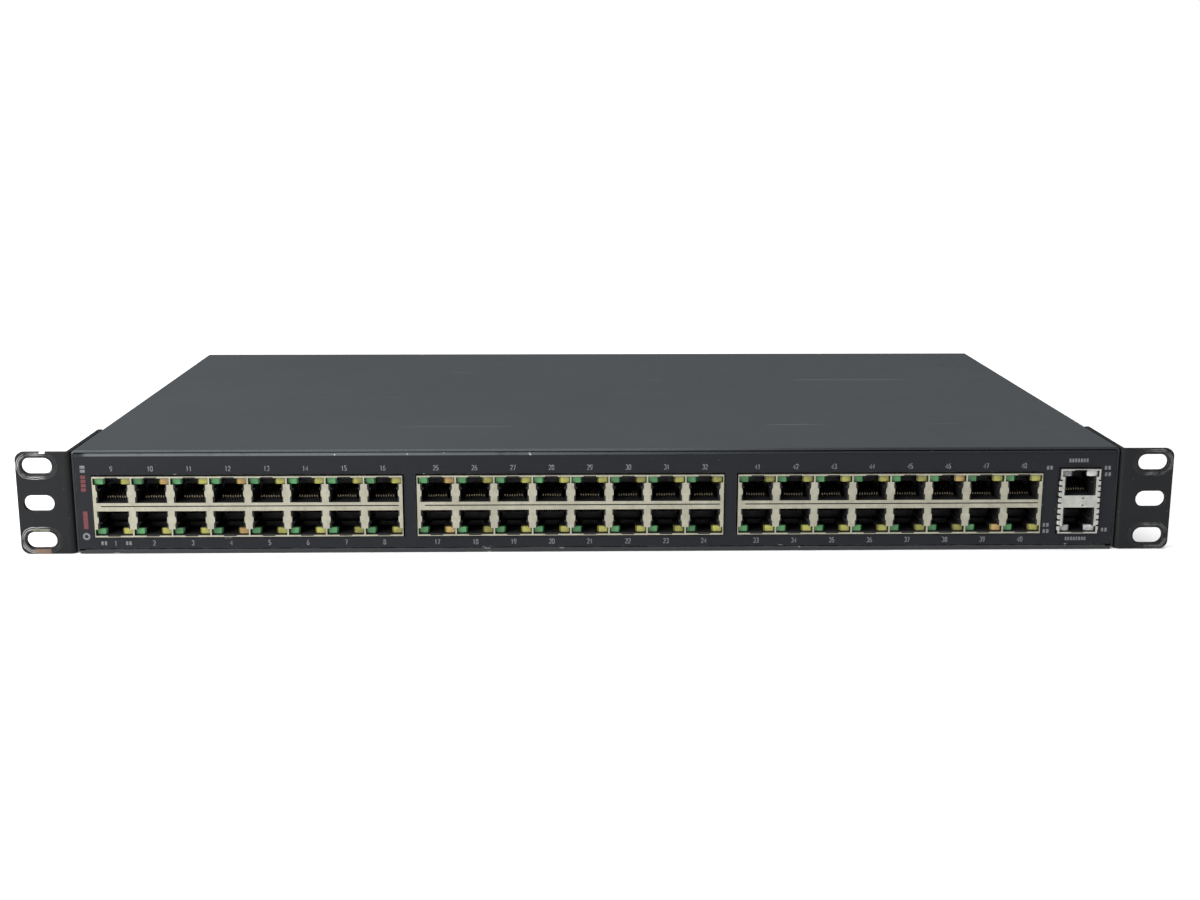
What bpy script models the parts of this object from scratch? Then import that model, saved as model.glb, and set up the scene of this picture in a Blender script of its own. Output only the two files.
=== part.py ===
"""A one-unit rackmount switch: a folded sheet-metal case with rack ears, three stacked sixteen-socket
jack blocks, a two-socket management jack, a main board, a mains power supply and two rear fans.

Metres, +Z up. The front faces -Y, and the origin is under the middle of the case, on the surface it
stands on. Distances called "depth" are measured backwards from the front panel's face."""

import math

import bmesh
import bpy
from mathutils import Matrix, Vector

MM = 0.001

# Driving sizes of the case
RACK_WIDTH = 482.6 * MM
CASE_WIDTH = 436.4 * MM
CASE_DEPTH = 254.0 * MM
CASE_HEIGHT = 44.0 * MM
SHEET = 1.2 * MM
COVER_SHEET = 1.0 * MM
CLEARANCE = 0.3 * MM

# Rack ears
EAR_SHEET = 2.0 * MM
EAR_HEIGHT = 43.5 * MM
EAR_FLANGE = 49.5 * MM
EAR_CORNER = 3.5 * MM
SLOT_LENGTH = 12.6 * MM
SLOT_WIDTH = 6.8 * MM
SLOT_SPREAD = 465.1 * MM
SLOT_PITCH = 15.875 * MM
EAR_SCREW_DEPTHS = (12.0 * MM, 33.0 * MM, 33.0 * MM)
EAR_SCREW_HEIGHTS = (21.75 * MM, 11.0 * MM, 32.5 * MM)

# Jack blocks: eight columns of two sockets each
PORT_PITCH = 16.0 * MM
PORT_COLUMNS = 8
BLOCK_WIDTH = PORT_COLUMNS * PORT_PITCH
BLOCK_HEIGHT = 25.9 * MM
BLOCK_CENTRES = (-146.0 * MM, -12.0 * MM, 122.0 * MM)
JACK_BASE = 7.25 * MM
JACK_DEPTH = 26.0 * MM
BLOCK_REACH = 1.0 * MM
WINDOW_WIDTH = 13.2 * MM
LAMP_WINDOW_WIDTH = 14.4 * MM
WINDOW_HEIGHT = 10.1 * MM
BLOCK_RIM = 1.1 * MM
SHIELD_SHEET = 0.3 * MM
SHIELD_GAP = 0.2 * MM
POCKET_WIDTH = 12.0 * MM
LAMP_POCKET_WIDTH = 14.2 * MM
POCKET_DEPTH = 14.0 * MM
PIPE_WIDTH = 3.8 * MM
PIPE_HEIGHT = 2.1 * MM
PIPE_MARGIN = 0.3 * MM
PIPE_END = 12.5 * MM
PIPE_RAIL = 1.5 * MM
PIPE_START = 1.4 * MM

# Management jack: one column of two sockets, taller and further forward
MANAGEMENT_CENTRE = 201.8 * MM
MANAGEMENT_WIDTH = 16.8 * MM
MANAGEMENT_HEIGHT = 27.8 * MM
MANAGEMENT_RIM = 0.9 * MM
MANAGEMENT_WINDOW = 10.4 * MM
MANAGEMENT_REACH = 1.6 * MM

# Boards
BOARD_SHEET = 1.6 * MM
BOARD_BASE = 5.35 * MM
BOARD_HALF_WIDTH = 208.0 * MM
BOARD_DEPTHS = (5.0 * MM, 138.0 * MM)
STANDOFF_PLACES = [(x * MM, depth * MM) for depth in (36.0, 130.0) for x in (-200.0, 0.0, 200.0)]
SUPPLY_X = (-206.0 * MM, -106.0 * MM)
SUPPLY_DEPTHS = (150.0 * MM, 226.0 * MM)

# Rear wall: mains inlet, rocker switch and fans, all on one centre height
REAR_CENTRE = 21.5 * MM
INLET_X = -170.0 * MM
SWITCH_X = -128.0 * MM
FAN_PLACES = (125.0 * MM, 175.0 * MM)
FAN_SIDE = 40.0 * MM
FAN_DEPTH = 20.0 * MM
FAN_BORE = 18.7 * MM
FAN_HOLE_SPREAD = 32.0 * MM
ROCKER_RADIUS = 9.0 * MM
ROCKER_EDGE_ANGLE = math.radians(28.0)
ROCKER_TILT = math.radians(10.0)
ROCKER_PIVOT_INSET = 0.5 * MM

ROCKER_REACH = ROCKER_RADIUS * math.sin(ROCKER_EDGE_ANGLE + ROCKER_TILT) - ROCKER_PIVOT_INSET
FRONT = -(CASE_DEPTH + ROCKER_REACH - MANAGEMENT_REACH) / 2
REAR = FRONT + CASE_DEPTH
HALF_CASE = CASE_WIDTH / 2
COVER_UNDERSIDE = CASE_HEIGHT - COVER_SHEET
PANEL_TOP = COVER_UNDERSIDE - CLEARANCE
PAN_HALF_WIDTH = HALF_CASE - COVER_SHEET - CLEARANCE
REAR_INSIDE = REAR - SHEET


def material(name, colour, roughness, metallic):
    """A plain finish shared by every piece made of it."""
    found = bpy.data.materials.get(name)
    if found:
        return found
    made = bpy.data.materials.new(name)
    made.use_nodes = True
    shader = made.node_tree.nodes["Principled BSDF"]
    shader.inputs["Base Color"].default_value = (*colour, 1.0)
    shader.inputs["Roughness"].default_value = roughness
    shader.inputs["Metallic"].default_value = metallic
    return made


FINISHES = {
    "charcoal_paint": ((0.050, 0.055, 0.062), 0.5, 0.3),
    "ear_paint": ((0.035, 0.036, 0.039), 0.5, 0.3),
    "zinc_steel": ((0.55, 0.56, 0.57), 0.35, 1.0),
    "tinned_steel": ((0.62, 0.60, 0.53), 0.35, 1.0),
    "black_plastic": ((0.015, 0.015, 0.016), 0.5, 0.0),
    "clear_plastic": ((0.70, 0.75, 0.70), 0.2, 0.0),
    "board_green": ((0.02, 0.16, 0.07), 0.4, 0.0),
    "chip_black": ((0.02, 0.02, 0.022), 0.45, 0.0),
    "brass": ((0.70, 0.52, 0.24), 0.3, 1.0),
    "aluminium": ((0.75, 0.76, 0.77), 0.35, 1.0),
    "copper_winding": ((0.62, 0.30, 0.12), 0.35, 1.0),
    "capacitor_sleeve": ((0.02, 0.03, 0.08), 0.35, 0.0),
    "brown_wire": ((0.16, 0.07, 0.03), 0.45, 0.0),
    "blue_wire": ((0.03, 0.10, 0.40), 0.45, 0.0),
    "green_wire": ((0.10, 0.35, 0.06), 0.45, 0.0),
    "grey_cable": ((0.30, 0.30, 0.31), 0.5, 0.0),
}


def finish(name):
    return material(name, *FINISHES[name])


# ---- shapes ---------------------------------------------------------------------------------------


def new_object(name, shape):
    """Turns a bmesh into an object in the scene, with its normals facing out."""
    bmesh.ops.recalc_face_normals(shape, faces=shape.faces)
    mesh = bpy.data.meshes.new(name)
    shape.to_mesh(mesh)
    shape.free()
    made = bpy.data.objects.new(name, mesh)
    bpy.context.scene.collection.objects.link(made)
    return made


def prism(outline, axis, start, end, name="tool"):
    """A closed outline pushed from start to end along an axis. The outline's pairs are the other two
    coordinates in X, Y, Z order."""

    def point(pair, along):
        values = list(pair)
        values.insert("XYZ".index(axis), along)
        return values

    shape = bmesh.new()
    lower = [shape.verts.new(point(pair, start)) for pair in outline]
    upper = [shape.verts.new(point(pair, end)) for pair in outline]
    shape.faces.new(lower)
    shape.faces.new(upper)
    count = len(outline)
    for i in range(count):
        j = (i + 1) % count
        shape.faces.new((lower[i], lower[j], upper[j], upper[i]))
    return new_object(name, shape)


def rectangle(low, high):
    return [(low[0], low[1]), (high[0], low[1]), (high[0], high[1]), (low[0], high[1])]


def box(low, high, name="tool"):
    return prism(rectangle(low[:2], high[:2]), "Z", low[2], high[2], name)


def circle(centre, radius, sides):
    """A polygon round a circle, so that a bore is never narrower than its radius."""
    outer = radius / math.cos(math.pi / sides)
    turns = [2 * math.pi * (i + 0.5) / sides for i in range(sides)]
    return [(centre[0] + outer * math.cos(t), centre[1] + outer * math.sin(t)) for t in turns]


def arc(centre, radius, first, last, steps):
    """Points round part of a circle, angles in degrees."""
    angles = [math.radians(first + (last - first) * i / steps) for i in range(steps + 1)]
    return [(centre[0] + radius * math.cos(a), centre[1] + radius * math.sin(a)) for a in angles]


def stadium(centre, length, width, steps=6):
    """A slot with round ends, lying along its first coordinate."""
    reach = (length - width) / 2
    right = arc((centre[0] + reach, centre[1]), width / 2, -90, 90, steps)
    left = arc((centre[0] - reach, centre[1]), width / 2, 90, 270, steps)
    return right + left


def rounded_rectangle(low, high, radius, steps=3):
    (x0, y0), (x1, y1) = low, high
    return (
        arc((x1 - radius, y0 + radius), radius, -90, 0, steps)
        + arc((x1 - radius, y1 - radius), radius, 0, 90, steps)
        + arc((x0 + radius, y1 - radius), radius, 90, 180, steps)
        + arc((x0 + radius, y0 + radius), radius, 180, 270, steps)
    )


def rod(centre, axis, radius, start, end, sides=12, name="tool"):
    return prism(circle(centre, radius, sides), axis, start, end, name)


def combine(target, tools, operation):
    """Cuts the tools from the target, or joins them to it, and removes them."""
    for tool in tools:
        modifier = target.modifiers.new(operation, "BOOLEAN")
        modifier.operation = operation
        modifier.solver = "EXACT"
        modifier.object = tool
        graph = bpy.context.evaluated_depsgraph_get()
        mesh = bpy.data.meshes.new_from_object(target.evaluated_get(graph))
        target.modifiers.clear()
        target.data = mesh
        bpy.data.objects.remove(tool)
    return target


def cut(target, *tools):
    return combine(target, tools, "DIFFERENCE")


def join(target, *tools):
    return combine(target, tools, "UNION")


def gather(tools):
    """Several tools that don't touch, as one tool, so that they are cut in one step."""
    shape = bmesh.new()
    for tool in tools:
        shape.from_mesh(tool.data)
        bpy.data.objects.remove(tool)
    return new_object("tools", shape)


def piece(made, name, finish_name, pivot=None):
    """Names a finished piece, gives it its finish and puts its origin at its pivot."""
    made.name = name
    made.data.name = name
    made.data.materials.clear()
    made.data.materials.append(finish(finish_name))
    made.data.shade_smooth()
    made.data.set_sharp_from_angle(angle=math.radians(30))
    if pivot:
        made.data.transform(Matrix.Translation(-Vector(pivot)))
        made.location = pivot
    return made


def depth(value):
    """The Y of a place this far behind the front panel's face."""
    return FRONT + value


# ---- case -----------------------------------------------------------------------------------------


def base_pan():
    """The bottom, rear wall and side flanges of the case, folded from one sheet."""
    pan = box((-PAN_HALF_WIDTH, depth(0.0), 0.0), (PAN_HALF_WIDTH, REAR, SHEET))
    hem_half = PAN_HALF_WIDTH - 2.2 * MM
    hem = box((-hem_half, depth(0.0), 0.0), (hem_half, depth(1.7 * MM), 1.75 * MM))
    lip = box((-hem_half, depth(2.2 * MM), 0.0), (hem_half, depth(2.2 * MM) + SHEET, 6.3 * MM))
    rear_wall = box((-PAN_HALF_WIDTH, REAR_INSIDE, 0.0), (PAN_HALF_WIDTH, REAR, PANEL_TOP))
    fold_end = FAN_PLACES[0] - FAN_SIDE / 2 - 4 * MM
    rear_fold = box(
        (-PAN_HALF_WIDTH, REAR - 12 * MM, PANEL_TOP - SHEET), (fold_end, REAR, PANEL_TOP)
    )
    join(pan, hem, lip, rear_wall, rear_fold)
    high, low, step = 38 * MM, 12 * MM, depth(48 * MM)
    outline = [
        (depth(2.6 * MM), 0.0),
        (REAR, 0.0),
        (REAR, low),
        (step, low),
        (step, high),
        (depth(2.6 * MM), high),
    ]
    for side in (-1, 1):
        inner, outer = side * (PAN_HALF_WIDTH - SHEET), side * PAN_HALF_WIDTH
        join(pan, prism(outline, "X", inner, outer))
    return cut(pan, gather(ear_screw_holes()), gather(rear_holes()))


def ear_screw_holes():
    """Clearance holes for the ear screws, right through both sides of the case."""
    return [
        rod((depth(back), height), "X", 2.1 * MM, x - 6 * MM, x + 6 * MM)
        for x in (-HALF_CASE, HALF_CASE)
        for back, height in zip(EAR_SCREW_DEPTHS, EAR_SCREW_HEIGHTS)
    ]


def rear_holes():
    """The rear wall's cut-outs for inlet, switch and fans, and its vents."""
    start, end = REAR_INSIDE - 2 * MM, REAR + 2 * MM
    holes = [
        prism(around((INLET_X, REAR_CENTRE), 13.8 * MM, 10.1 * MM), "Y", start, end),
        prism(around((SWITCH_X, REAR_CENTRE), 10.6 * MM, 7.4 * MM), "Y", start, end),
    ]
    holes += [
        rod((INLET_X + side * 20 * MM, REAR_CENTRE), "Y", 1.9 * MM, start, end, 8)
        for side in (-1, 1)
    ]
    for x in FAN_PLACES:
        holes.append(rod((x, REAR_CENTRE), "Y", FAN_BORE, start, end, 24))
        holes += [rod(place, "Y", 1.9 * MM, start, end, 8) for place in fan_holes(x)]
    for row in (-1, 1):
        for column in range(14):
            centre = ((-90 + 12 * column) * MM, REAR_CENTRE + row * 8.5 * MM)
            holes.append(prism(around(centre, 1.5 * MM, 6 * MM), "Y", start, end))
    return holes


def around(centre, half_width, half_height):
    (x, z) = centre
    return rectangle((x - half_width, z - half_height), (x + half_width, z + half_height))


def fan_holes(x):
    half = FAN_HOLE_SPREAD / 2
    return [(x + i * half, REAR_CENTRE + k * half) for i in (-1, 1) for k in (-1, 1)]


def jack_places():
    """(centre, width, height) of every jack in the front panel."""
    blocks = [(x, BLOCK_WIDTH, BLOCK_HEIGHT) for x in BLOCK_CENTRES]
    return [*blocks, (MANAGEMENT_CENTRE, MANAGEMENT_WIDTH, MANAGEMENT_HEIGHT)]


def front_panel():
    """The front sheet, folded back along its top edge, with a cut-out for each jack."""
    bottom = 2.1 * MM
    bend, inner = 1.5 * MM, 1.5 * MM - SHEET
    corner = (depth(bend), PANEL_TOP - bend)
    outline = [
        (depth(0.0), bottom),
        *reversed(arc(corner, bend, 90, 180, 4)),
        (depth(11 * MM), PANEL_TOP),
        (depth(11 * MM), PANEL_TOP - SHEET),
        *arc(corner, inner, 90, 180, 2),
        (depth(SHEET), bottom),
    ]
    panel = prism(outline, "X", -PAN_HALF_WIDTH, PAN_HALF_WIDTH)
    inset = 2.0 * MM
    for side in (-1, 1):
        x = [side * (PAN_HALF_WIDTH - inset), side * (PAN_HALF_WIDTH - inset - SHEET)]
        low = (min(x), depth(SHEET / 2), 7 * MM)
        join(panel, box(low, (max(x), depth(10 * MM), 37 * MM)))
    gap = 0.5 * MM
    windows = [
        box(
            (x - width / 2 - gap, depth(-2 * MM), JACK_BASE - gap),
            (x + width / 2 + gap, depth(SHEET + 1 * MM), JACK_BASE + height + gap),
        )
        for x, width, height in jack_places()
    ]
    return cut(panel, gather(windows))


def top_cover():
    """The channel that closes the case: top and both sides, with vents in the rear half."""
    start, end = depth(0.8 * MM), REAR
    bend, inner = 1.6 * MM, 1.6 * MM - COVER_SHEET
    low = 0.6 * MM
    x, z = HALF_CASE - bend, CASE_HEIGHT - bend
    outline = [
        (HALF_CASE, low),
        *arc((x, z), bend, 0, 90, 4),
        *arc((-x, z), bend, 90, 180, 4),
        (-HALF_CASE, low),
        (-HALF_CASE + COVER_SHEET, low),
        *reversed(arc((-x, z), inner, 90, 180, 2)),
        *reversed(arc((x, z), inner, 0, 90, 2)),
        (HALF_CASE - COVER_SHEET, low),
    ]
    cover = prism(outline, "Y", start, end)
    vents = [
        prism(
            rectangle((depth(back) - 1.3 * MM, 16 * MM), (depth(back) + 1.3 * MM, 34 * MM)),
            "X",
            side - 4 * MM,
            side + 4 * MM,
        )
        for side in (-HALF_CASE, HALF_CASE)
        for back in [(110 + 9 * i) * MM for i in range(14)]
    ]
    return cut(cover, gather(vents), gather(ear_screw_holes()))


def rack_ear(side):
    """A folded bracket: a slotted plate beside the front panel and a flange along the case's side."""
    inner = HALF_CASE + CLEARANCE
    outer = RACK_WIDTH / 2
    bend, fold = 2.6 * MM, 2.6 * MM - EAR_SHEET
    centre = (inner + bend, depth(bend))
    outline = [
        (outer, depth(0.0)),
        (outer, depth(EAR_SHEET)),
        *reversed(arc(centre, fold, 180, 270, 2)),
        (inner + EAR_SHEET, depth(EAR_FLANGE)),
        (inner, depth(EAR_FLANGE)),
        *arc(centre, bend, 180, 270, 4),
    ]
    ear = prism([(side * x, y) for x, y in outline], "Z", 0.0, EAR_HEIGHT)
    slots = []
    for row in (-1, 0, 1):
        place = (side * SLOT_SPREAD / 2, EAR_HEIGHT / 2 + row * SLOT_PITCH)
        slot = stadium(place, SLOT_LENGTH, SLOT_WIDTH)
        slots.append(prism(slot, "Y", depth(-1 * MM), depth(EAR_SHEET + 1 * MM)))
    cut(ear, gather(slots), gather(ear_corners(side, outer)), gather(ear_screw_holes()))
    return piece(ear, "left_rack_ear" if side < 0 else "right_rack_ear", "ear_paint")


def ear_corners(side, outer):
    """What rounds the plate's two outer corners and the flange's two rear corners."""
    tools = []
    for top in (0, 1):
        z = EAR_HEIGHT * top
        step = 1 - 2 * top
        rounds = [(1 - math.sin(a), 1 - math.cos(a)) for a in quarter_turns()]
        plate = [(side * (outer - u * EAR_CORNER), z + step * v * EAR_CORNER) for u, v in rounds]
        beyond = (side * (outer + EAR_CORNER), z - step * EAR_CORNER)
        plate += [(side * (outer - EAR_CORNER), beyond[1]), beyond, (beyond[0], z + step * EAR_CORNER)]
        tools.append(prism(plate, "Y", depth(-1 * MM), depth(EAR_SHEET + 1 * MM)))
        back = depth(EAR_FLANGE)
        flange = [(back - u * EAR_CORNER, z + step * v * EAR_CORNER) for u, v in rounds]
        beyond = (back + EAR_CORNER, z - step * EAR_CORNER)
        flange += [(back - EAR_CORNER, beyond[1]), beyond, (beyond[0], z + step * EAR_CORNER)]
        wall = side * (HALF_CASE + CLEARANCE)
        tools.append(prism(flange, "X", wall - 4 * MM, wall + 4 * MM))
    return tools


def quarter_turns(steps=4):
    return [math.pi / 2 * (1 - i / steps) for i in range(steps + 1)]


def ear_screws():
    """Three screws hold each ear: the head outside the ear's flange, the shank through the case."""
    made = []
    for side, word in ((-1, "left"), (1, "right")):
        seat = HALF_CASE + CLEARANCE + EAR_SHEET + 0.2 * MM
        for number, (back, height) in enumerate(zip(EAR_SCREW_DEPTHS, EAR_SCREW_HEIGHTS), 1):
            place = (depth(back), height)
            head = rod(place, "X", 3.4 * MM, side * seat, side * (seat + 1.9 * MM), 12)
            shank = rod(place, "X", 1.6 * MM, side * (seat - 9 * MM), side * (seat + 1 * MM), 10)
            join(head, shank)
            socket = rod(place, "X", 1.2 * MM, side * (seat + 0.9 * MM), side * (seat + 3 * MM), 6)
            cut(head, socket)
            made.append(piece(head, f"{word}_ear_screw_{number}", "zinc_steel"))
    return made


# ---- jacks ----------------------------------------------------------------------------------------


def rows_of(height, rim, window):
    """(low, high) of the lower and the upper window of a stacked jack."""
    lower = JACK_BASE + rim
    upper = JACK_BASE + height - rim - window
    return (lower, lower + window), (upper, upper + window)


def columns_of(centre, count):
    return [centre + (i - (count - 1) / 2) * PORT_PITCH for i in range(count)]


def socket_outline(x, low, high, lamps_on_top, width, lamp_width):
    """A socket seen from the front: a plug opening, wider along the edge where its two lamps are."""
    step = PIPE_MARGIN + PIPE_HEIGHT
    half, lamp_half = width / 2, lamp_width / 2
    if lamps_on_top:
        level, plain, lamp = high - step, low, high
    else:
        level, plain, lamp = low + step, high, low
    return [
        (x - half, plain),
        (x + half, plain),
        (x + half, level),
        (x + lamp_half, level),
        (x + lamp_half, lamp),
        (x - lamp_half, lamp),
        (x - lamp_half, level),
        (x - half, level),
    ]


def socket_outlines(columns, rows, shrink, width, lamp_width):
    """The outline of every socket of a jack. The lower row has its lamps below, the upper above."""
    return [
        socket_outline(x, low + shrink, high - shrink, row == 1, width, lamp_width)
        for x in columns
        for row, (low, high) in enumerate(rows)
    ]


def jack_shield(name, centre, width, height, columns, rows, reach):
    """A folded tin can round the housing, with a window for each socket and no bottom."""
    half = width / 2
    front, back = depth(-reach), depth(JACK_DEPTH)
    top = JACK_BASE + height
    shield = box((centre - half, front, JACK_BASE), (centre + half, back, top))
    hollow = box(
        (centre - half + SHIELD_SHEET, front + SHIELD_SHEET, JACK_BASE - 1 * MM),
        (centre + half - SHIELD_SHEET, back - SHIELD_SHEET, top - SHIELD_SHEET),
    )
    windows = [
        prism(outline, "Y", front - 1 * MM, front + 1 * MM)
        for outline in socket_outlines(columns, rows, 0.0, WINDOW_WIDTH, LAMP_WINDOW_WIDTH)
    ]
    return piece(cut(shield, hollow, gather(windows)), name, "tinned_steel")


def jack_housing(name, centre, width, height, columns, rows, reach):
    """The moulding inside the shield: a pocket for each plug, and grooves for the light pipes."""
    inset = SHIELD_SHEET + SHIELD_GAP
    half = width / 2 - inset
    front, back = depth(-reach) + inset, depth(JACK_DEPTH) - inset
    low, high = JACK_BASE + 0.1 * MM, JACK_BASE + height - inset
    housing = box((centre - half, front, low), (centre + half, back, high))
    pockets = [
        prism(outline, "Y", front - 1 * MM, depth(POCKET_DEPTH))
        for outline in socket_outlines(columns, rows, 0.1 * MM, POCKET_WIDTH, LAMP_POCKET_WIDTH)
    ]
    groove_half = (columns[-1] - columns[0] + LAMP_POCKET_WIDTH) / 2
    groove_front = depth(PIPE_END - PIPE_RAIL) - CLEARANCE
    groove_back = depth(PIPE_END) + CLEARANCE
    step = PIPE_MARGIN + PIPE_HEIGHT + CLEARANCE
    grooves = [
        box((centre - groove_half, groove_front, bottom), (centre + groove_half, groove_back, top))
        for bottom, top in ((low - 1 * MM, rows[0][0] + step), (rows[1][1] - step, high + 1 * MM))
    ]
    return piece(cut(housing, gather(pockets), gather(grooves)), name, "black_plastic")


def light_pipes(name, columns, low, reach):
    """One clear comb for a row of sockets: two teeth lead light to each socket's corners."""
    front, rail_front, back = depth(PIPE_START - reach), depth(PIPE_END - PIPE_RAIL), depth(PIPE_END)
    outer = LAMP_POCKET_WIDTH / 2 - 0.2 * MM
    teeth = []
    for x in columns:
        teeth += [(x - outer, x - outer + PIPE_WIDTH), (x + outer - PIPE_WIDTH, x + outer)]
    outline = [(teeth[0][0], back)]
    for left, right in teeth:
        outline += [(left, rail_front), (left, front), (right, front), (right, rail_front)]
    outline.append((teeth[-1][1], back))
    outline.pop(1)
    outline.pop(-2)
    return piece(prism(outline, "Z", low, low + PIPE_HEIGHT), name, "clear_plastic")


def jack(name, centre, width, height, count, rim, window_height, reach):
    """A stacked jack: shield, housing and the light pipes of its upper and lower row."""
    columns = columns_of(centre, count)
    rows = rows_of(height, rim, window_height)
    jack_shield(name + "_shield", centre, width, height, columns, rows, reach)
    jack_housing(name + "_housing", centre, width, height, columns, rows, reach)
    upper_low = rows[1][1] - PIPE_MARGIN - PIPE_HEIGHT
    light_pipes(name + "_upper_light_pipes", columns, upper_low, reach)
    light_pipes(name + "_lower_light_pipes", columns, rows[0][0] + PIPE_MARGIN, reach)


def jacks():
    for number, centre in enumerate(BLOCK_CENTRES, 1):
        jack(
            f"jack_block_{number}",
            centre,
            BLOCK_WIDTH,
            BLOCK_HEIGHT,
            PORT_COLUMNS,
            BLOCK_RIM,
            WINDOW_HEIGHT,
            BLOCK_REACH,
        )
    jack(
        "management_jack",
        MANAGEMENT_CENTRE,
        MANAGEMENT_WIDTH,
        MANAGEMENT_HEIGHT,
        1,
        MANAGEMENT_RIM,
        MANAGEMENT_WINDOW,
        MANAGEMENT_REACH,
    )


# ---- boards ---------------------------------------------------------------------------------------


def main_board():
    front, back = (depth(value) for value in BOARD_DEPTHS)
    top = BOARD_BASE + BOARD_SHEET
    board = box((-BOARD_HALF_WIDTH, front, BOARD_BASE), (BOARD_HALF_WIDTH, back, top))
    holes = [
        rod((x, depth(y)), "Z", 1.8 * MM, BOARD_BASE - 1 * MM, top + 1 * MM, 10)
        for x, y in STANDOFF_PLACES
    ]
    return piece(cut(board, gather(holes)), "main_board", "board_green")


def board_standoffs():
    for number, (x, y) in enumerate(STANDOFF_PLACES, 1):
        low, high = SHEET + CLEARANCE, BOARD_BASE - CLEARANCE
        post = rod((x, depth(y)), "Z", 2.8 * MM, low, high, 6)
        cut(post, rod((x, depth(y)), "Z", 1.25 * MM, low - 1 * MM, high + 1 * MM, 8))
        piece(post, f"board_standoff_{number}", "brass")


def processor():
    """The processor and the finned heat sink on it."""
    x, y = 60 * MM, depth(80 * MM)
    low = BOARD_BASE + BOARD_SHEET + CLEARANCE
    chip_top = low + 2.2 * MM
    half = 14 * MM
    chip = box((x - half, y - half, low), (x + half, y + half, chip_top))
    piece(chip, "processor", "chip_black")
    base_low, base_top, fin_top = chip_top + CLEARANCE, chip_top + 3 * MM, chip_top + 16 * MM
    wide, pitch, fin = 20 * MM, 4 * MM, 1.2 * MM
    outline = [(x - wide, base_low)]
    fins = [x - wide + fin / 2 + i * (2 * wide - fin) / 10 for i in range(11)]
    for centre in fins:
        left, right = centre - fin / 2, centre + fin / 2
        outline += [(left, base_top), (left, fin_top), (right, fin_top), (right, base_top)]
    outline.append((x + wide, base_low))
    outline.pop(1)
    outline.pop(-2)
    sink = prism(outline, "Y", y - wide, y + wide)
    piece(sink, "processor_heat_sink", "aluminium")


def memory():
    """A memory module standing in its socket."""
    x, y = -40 * MM, depth(96 * MM)
    low = BOARD_BASE + BOARD_SHEET + CLEARANCE
    half_length = 67 * MM
    socket = box((x - half_length, y - 3 * MM, low), (x + half_length, y + 3 * MM, low + 6 * MM))
    slot_half = 64 * MM
    slot = box((x - slot_half, y - 0.9 * MM, low + 2 * MM), (x + slot_half, y + 0.9 * MM, low + 8 * MM))
    piece(cut(socket, slot), "memory_socket", "chip_black")
    edge = slot_half - 0.5 * MM
    module = box(
        (x - edge, y - 0.6 * MM, low + 2.3 * MM), (x + edge, y + 0.6 * MM, low + 27 * MM)
    )
    piece(module, "memory_module", "board_green")


def power_supply():
    """An open-frame supply on a steel tray: board, transformer, reservoir capacitor, heat sink."""
    (left, right), (front, back) = SUPPLY_X, [depth(value) for value in SUPPLY_DEPTHS]
    tray_low = SHEET + CLEARANCE
    tray = box((left, front, tray_low), (right, back, tray_low + 1 * MM))
    for end in (left + 4 * MM, right - 12 * MM):
        foot = box((end, front, tray_low), (end + 8 * MM, back, BOARD_BASE - CLEARANCE))
        join(tray, foot)
    piece(tray, "supply_tray", "zinc_steel")
    top = BOARD_BASE + BOARD_SHEET
    piece(box((left, front, BOARD_BASE), (right, back, top)), "supply_board", "board_green")
    seat = top + CLEARANCE
    middle = (front + back) / 2
    core = box((left + 40 * MM, middle - 15 * MM, seat), (left + 68 * MM, middle + 15 * MM, seat + 24 * MM))
    winding = rod((middle, seat + 12 * MM), "X", 10.5 * MM, left + 38 * MM, left + 70 * MM, 16)
    piece(join(core, winding), "supply_transformer", "copper_winding")
    can = rod((left + 20 * MM, middle), "Z", 11 * MM, seat, seat + 30 * MM, 20)
    piece(can, "supply_capacitor", "capacitor_sleeve")
    plate = box((right - 22 * MM, front + 6 * MM, seat), (right - 19 * MM, back - 8 * MM, seat + 28 * MM))
    for i in range(5):
        y = front + 8 * MM + i * 13 * MM
        join(plate, box((right - 20 * MM, y, seat + 2 * MM), (right - 12 * MM, y + 1.5 * MM, seat + 28 * MM)))
    piece(plate, "supply_heat_sink", "aluminium")


# ---- rear wall ------------------------------------------------------------------------------------


def mains_inlet():
    """A three-pin appliance inlet: a flanged moulding and the blades in it."""
    x, z = INLET_X, REAR_CENTRE
    face = REAR + 2.2 * MM
    body_back = REAR - 18 * MM
    body = prism(around((x, z), 13.4 * MM, 9.7 * MM), "Y", body_back, REAR + 1 * MM)
    flange = prism(
        rounded_rectangle((x - 24.5 * MM, z - 11.2 * MM), (x + 24.5 * MM, z + 11.2 * MM), 3 * MM),
        "Y",
        REAR + CLEARANCE,
        face,
    )
    join(body, flange)
    half, tall, corner = 12 * MM, 8.2 * MM, 4 * MM
    outline = [
        (x - half, z - tall),
        (x + half, z - tall),
        (x + half, z + tall - corner),
        (x + half - corner, z + tall),
        (x - half + corner, z + tall),
        (x - half, z + tall - corner),
    ]
    socket = prism(outline, "Y", body_back + 3 * MM, face + 1 * MM)
    screws = [
        rod((x + side * 20 * MM, z), "Y", 1.8 * MM, REAR, face + 1 * MM, 8) for side in (-1, 1)
    ]
    blades = {"live": (-7.0, -2.0), "earth": (0.0, 2.0), "neutral": (7.0, -2.0)}
    start, end = body_back - 1 * MM, body_back + 4 * MM
    holes = [
        prism(around((x + u * MM, z + v * MM), 1.3 * MM, 2.3 * MM), "Y", start, end)
        for u, v in blades.values()
    ]
    piece(cut(body, socket, gather(screws), gather(holes)), "mains_inlet", "black_plastic")
    for word, (u, v) in blades.items():
        blade = around((x + u * MM, z + v * MM), 1 * MM, 2 * MM)
        made = prism(blade, "Y", body_back - 4 * MM, face - 3.6 * MM)
        piece(made, f"mains_inlet_{word}_blade", "brass")


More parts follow.
